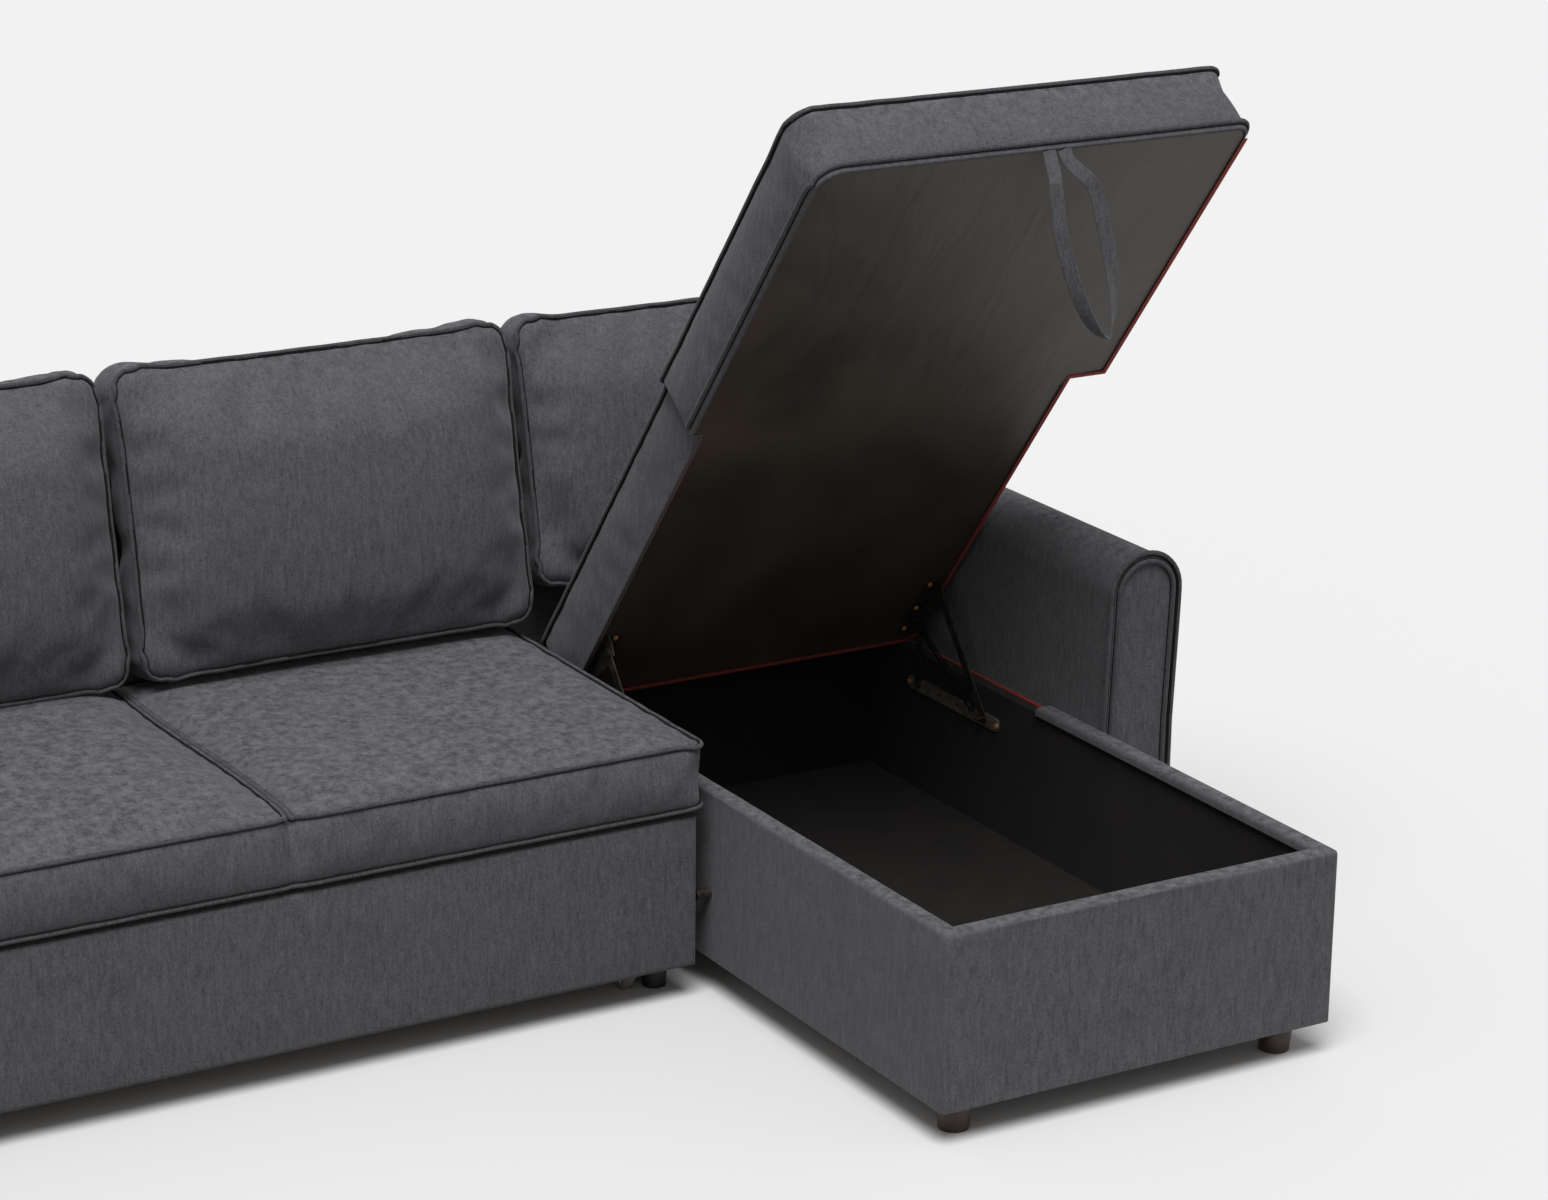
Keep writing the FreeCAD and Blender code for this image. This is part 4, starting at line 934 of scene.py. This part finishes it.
def arm(side):
    """The right arm, or its mirror image about the middle of the frame."""
    mirror = side == "left"
    piece = block(f"arm_{side}_upholstery", ARM_X, (644, 1558), (58, 647))
    edit(piece)
    pick("EDGE", lambda e: along(e, 1) and middle(e).z > 0.6)
    bpy.ops.mesh.bevel(offset=0.0655, segments=10, profile=0.5)
    pick("FACE", lambda f: f.normal.y < -0.9)
    bpy.ops.mesh.region_to_loop()
    bpy.ops.mesh.mark_seam()
    pick("FACE", lambda f: f.normal.y < -0.9)
    bpy.ops.mesh.inset(thickness=0.012)
    bpy.ops.transform.translate(value=(0, -0.001, 0))
    slices(2, [v / 1000 for v in (110, 180, 250, 300, LEAN_FROM, 400, 450, 500, 540, 575, 610)])
    slices(1, steps(*reach(piece, 1), 0.06))
    done()
    for v in piece.data.vertices:
        x, z = (v.co.x - SHIFT.x) * 1000, v.co.z * 1000
        lean = max(0.0, min(1.0, (z - LEAN_FROM) / 216))
        share = (x - ARM_X[0]) / (ARM_X[1] - ARM_X[0])
        v.co.x += lean * (0.0075 + 0.001 * share)
        if mirror:
            v.co.x = -v.co.x
    if mirror:
        edit(piece)
        bpy.ops.mesh.select_all(action="SELECT")
        bpy.ops.mesh.flip_normals()
        done()
    sew_welt(piece, f"arm_{side}_cord", "sofa", 4.3, f"arm_{side}_welt",
             test=lambda p: p.z > 0.06, ease=0)
    keep(piece, "sofa", charcoal, f"arm_{side}_cover")
    return piece


arms = [arm("left"), arm("right")]
print("arms reach", [round(v, 3) for v in reach(arms[1], 2)])

# %% [markdown]
# ## Back and front of the sofa part
# The back is an upholstered wall that steps back behind the seat and leans above it.

# %% Upholstered back


def back_face(z):
    """How far back the face of the wall stands at a height, in millimetres."""
    if z < 318:
        return 1372
    if z < 455:
        return 1406
    return 1432 + 70 * (z - 470) / 330


wall = block("back_upholstery", (-1475, 733), (1372, 1560), (57, 800))
edit(wall)
slices(2, [0.3179, 0.3181, 0.440, 0.470, 0.6])
done()
for v in wall.data.vertices:
    if v.co.y < spot(0, 1380, 0).y:
        v.co.y = spot(0, back_face(v.co.z * 1000), 0).y
edit(wall)
pick("EDGE", lambda e: along(e, 0) and middle(e).z > 0.79)
bpy.ops.mesh.bevel(offset=0.013, segments=4)
slices(0, steps(*reach(wall, 0), 0.12))
done()
keep(wall, "sofa", charcoal, "back_cover")
print("back reaches", [round(v, 3) for v in reach(wall, 2)])

# %% [markdown]
# The front board of the pull-out bed is a padded panel with soft edges.

# %% Padded front of the pull-out bed
panel = block("bed_front_upholstery", (-1470, -32), (687, 720), (56, 316))
edit(panel)
pick("EDGE", lambda e: middle(e).y < spot(0, 690, 0).y)
bpy.ops.mesh.bevel(offset=0.008, segments=4)
slices(0, steps(*reach(panel, 0), 0.09))
slices(2, steps(*reach(panel, 2), 0.06))
done()
for v in panel.data.vertices:
    x, z = v.co.x, v.co.z
    if v.co.y < spot(0, 690, 0).y:
        v.co.y += 0.0009 * (1 + math.sin(15 * x + 9 * z) * math.sin(6 * x - 21 * z + 2))
keep(panel, "bed_unit", charcoal, "bed_front_cover")
print("bed front has", len(panel.data.polygons), "faces")

# %% [markdown]
# ## Pull strap
# A folded band of the same cloth hangs in a loop from the front edge, its ends sewn side by
# side. It is one long grid, laid along a row of places with a turn at each, and ribbed along
# its length.

# %% Pull strap
ROW = [(404, -2, 0), (406, 30, -2), (408, 60, -5), (418, 120, -14), (436, 180, -26), (462, 240, -42),
       (486, 280, -62), (508, 300, -92), (520, 284, -126), (523, 240, -158), (514, 180, -184),
       (498, 120, -194), (478, 60, -190), (440, 20, -182), (432, -2, -180)]
LONG, WIDE = 90, 8
BAND, BOW = 0.024, 17
strap_top = rear_edge + forward_way * 1.366 - upward_way * 0.004


def between(row, t):
    """A smooth value along a row of numbers."""
    i = min(int(t), len(row) - 2)
    f = t - i
    a, b, c, d = (row[max(0, min(len(row) - 1, i + k))] for k in (-1, 0, 1, 2))
    return b + 0.5 * f * (c - a + f * (2 * a - 5 * b + 4 * c - d + f * (3 * (b - c) + d - a)))


bpy.ops.object.select_all(action="DESELECT")
bpy.ops.mesh.primitive_grid_add(x_subdivisions=WIDE, y_subdivisions=LONG, size=1)
strap = bpy.context.object
strap.name = "pull_strap_band"
length = 0.0
places = []
for j in range(LONG + 1):
    t = j / LONG * (len(ROW) - 1)
    x, drop, turn = (between([row[k] for row in ROW], t) for k in range(3))
    ahead = BOW * max(0.0, min(1.0, drop / 45))
    places.append((strap_top + Vector((x, -ahead, -drop)) / 1000, math.radians(turn)))
for j in range(1, LONG + 1):
    length += (places[j][0] - places[j - 1][0]).length
for v in strap.data.vertices:
    j = round((v.co.y + 0.5) * LONG)
    here, turn = places[j]
    way = (places[min(j + 1, LONG)][0] - places[max(j - 1, 0)][0]).normalized()
    side = Vector((math.cos(turn), math.sin(turn), 0))
    side = (side - way * side.dot(way)).normalized()
    column = round((v.co.x + 0.5) * WIDE)
    v.co = here + side * (v.co.x * BAND) + way.cross(side) * (0.0007 if column % 2 else 0.0)
use(strap, "SOLIDIFY", thickness=0.0026, offset=0)
use(strap, "SUBSURF", levels=1, render_levels=1)
keep(strap, "strap", charcoal, "pull_strap")
print("strap length", round(length, 3))

# %% [markdown]
# ## Springs
# Each lift hinge has a long tension spring. A circle of wire is turned and drawn along at
# the same time by the screw modifier, which makes one unbroken coil.

# %% Springs
WIRE, COIL = 0.0011, 0.0044
TURNS, COIL_FROM, COIL_LONG, PIN_TO_PIN = 60, 0.022, 0.197, 0.2409
SPRING_X = {"left": 42, "right": 691}
spring_from = spot(0, 962.6, 276.5)
spring_way = Vector((0, math.cos(math.radians(30.31)), math.sin(math.radians(30.31))))


def spring(side):
    """A coil of wire with a hook at each end, built upright and then leaned along its pins."""
    bpy.ops.object.select_all(action="DESELECT")
    bpy.ops.mesh.primitive_circle_add(vertices=6, radius=WIRE, location=(COIL, 0, 0),
                                      rotation=(math.pi / 2, 0, 0))
    piece = bpy.context.object
    piece.name = f"lift_spring_{side}"
    settle(piece)
    use(piece, "SCREW", axis="Z", angle=2 * math.pi * TURNS, screw_offset=COIL_LONG, iterations=1,
        steps=14 * TURNS, render_steps=14 * TURNS, use_smooth_shade=True)
    for v in piece.data.vertices:
        v.co.z += COIL_FROM
    hooks = []
    for end, at in ((1, 0.0), (-1, PIN_TO_PIN)):
        bpy.ops.object.select_all(action="DESELECT")
        bpy.ops.mesh.primitive_torus_add(major_radius=0.0042, minor_radius=WIRE, major_segments=20,
                                         minor_segments=6, location=(0, 0, at),
                                         rotation=(0, math.pi / 2, 0))
        hooks.append(settle(bpy.context.object))
        bpy.ops.object.select_all(action="DESELECT")
        bpy.ops.mesh.primitive_cylinder_add(vertices=8, radius=WIRE, depth=0.019,
                                            location=(0, 0, at + end * 0.0135))
        hooks.append(settle(bpy.context.object))
    only(piece)
    for hook in hooks:
        hook.select_set(True)
    bpy.ops.object.join()
    edit(piece)
    bpy.ops.mesh.select_all(action="SELECT")
    bpy.ops.mesh.normals_make_consistent(inside=False)
    done()
    piece.rotation_euler = Vector((0, 0, 1)).rotation_difference(spring_way).to_euler()
    piece.location = spring_from + Vector((SPRING_X[side] / 1000, 0, 0))
    settle(piece)
    return keep(piece, "springs", spring_steel)


coils = [spring(side) for side in ("left", "right")]
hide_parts("hinge_springs")
print("coils have", sum(len(c.data.polygons) for c in coils), "faces")

# %% [markdown]
# ## Floor, light and camera
# A pale floor runs out of sight. It looks white to the camera, but throws back less light
# than it shows, so that the undersides stay dark.

# %% Floor
bpy.ops.object.select_all(action="DESELECT")
bpy.ops.mesh.primitive_plane_add(size=60, location=(0, 12, 0))
floor = bpy.context.object
floor.name = "studio_floor"
paint = Finish("studio_floor_paint", Roughness=0.9, Specular_IOR_Level=0.0)
haze = paint.noise((0.3, 0.3, 0.3), 2.0, 0.5)
pale = paint.ramp(haze, (0.0, (0.86, 0.86, 0.86)), (1.0, (0.88, 0.88, 0.88)))
rays = ("Camera", "Glossy", "Transmission")
seen = sum(paint.node("ShaderNodeLightPath", {}, {}, f"Is {kind} Ray") for kind in rays)
paint.colour(paint.blend(seen, (0.26, 0.26, 0.26, 1), pale))
floor.data.materials.append(paint.material)
print("floor is laid:", floor.name)

# %% [markdown]
# One wide soft sun stands high at the front left. An even white world fills the shade, and
# shows itself brighter to the camera than it shines.

# %% Light
world = bpy.data.worlds.new("studio")
bpy.context.scene.world = world
world.use_nodes = True
tree = world.node_tree
shine = tree.nodes["Background"]
show = tree.nodes.new("ShaderNodeBackground")
mix = tree.nodes.new("ShaderNodeMixShader")
path = tree.nodes.new("ShaderNodeLightPath")
for background, strength in ((shine, 0.34), (show, 0.88)):
    background.inputs["Color"].default_value = (1, 1, 1, 1)
    background.inputs["Strength"].default_value = strength
tree.links.new(path.outputs["Is Camera Ray"], mix.inputs[0])
tree.links.new(shine.outputs[0], mix.inputs[1])
tree.links.new(show.outputs[0], mix.inputs[2])
tree.links.new(mix.outputs[0], tree.nodes["World Output"].inputs["Surface"])
bpy.ops.object.light_add(type="SUN", location=(-2, -4, 5))
sun = bpy.context.object
sun.name = "soft_sun"
sun.data.energy = 2.35
sun.data.angle = math.radians(35)
sun.rotation_euler = Vector((0.23, 0.35, -0.91)).to_track_quat("-Z", "Y").to_euler()
print("sun strength", sun.data.energy)

# %% [markdown]
# The camera stands where the photograph was taken. Its lens is given as a focal length in
# pixels of the photograph, which is as many pixels wide as PHOTO_WIDE says.

# %% Camera
YAW, PITCH, ROLL = 0.5403, 0.3075, 0.0133
FOCAL, PHOTO_WIDE, SENSOR = 4191.9, 1548, 36
ahead = Vector((math.sin(YAW) * math.cos(PITCH), math.cos(YAW) * math.cos(PITCH), -math.sin(PITCH)))
right = Vector((math.cos(YAW), -math.sin(YAW), 0))
up = right.cross(ahead)
side = right * math.cos(ROLL) + up * math.sin(ROLL)
top = up * math.cos(ROLL) - right * math.sin(ROLL)
camera = bpy.data.objects.new("photo_camera", bpy.data.cameras.new("photo_camera"))
bpy.context.scene.collection.objects.link(camera)
camera.data.sensor_width = SENSOR
camera.data.lens = FOCAL / PHOTO_WIDE * SENSOR
camera.data.clip_end = 200
turned = Matrix((side, top, -ahead)).transposed().to_4x4()
camera.matrix_world = Matrix.Translation(Vector((-3.1887, -4.8051, 2.6945)) + SHIFT) @ turned
bpy.context.scene.camera = camera
bpy.context.scene.view_settings.view_transform = "Standard"
print("camera lens", round(camera.data.lens, 2), "mm")
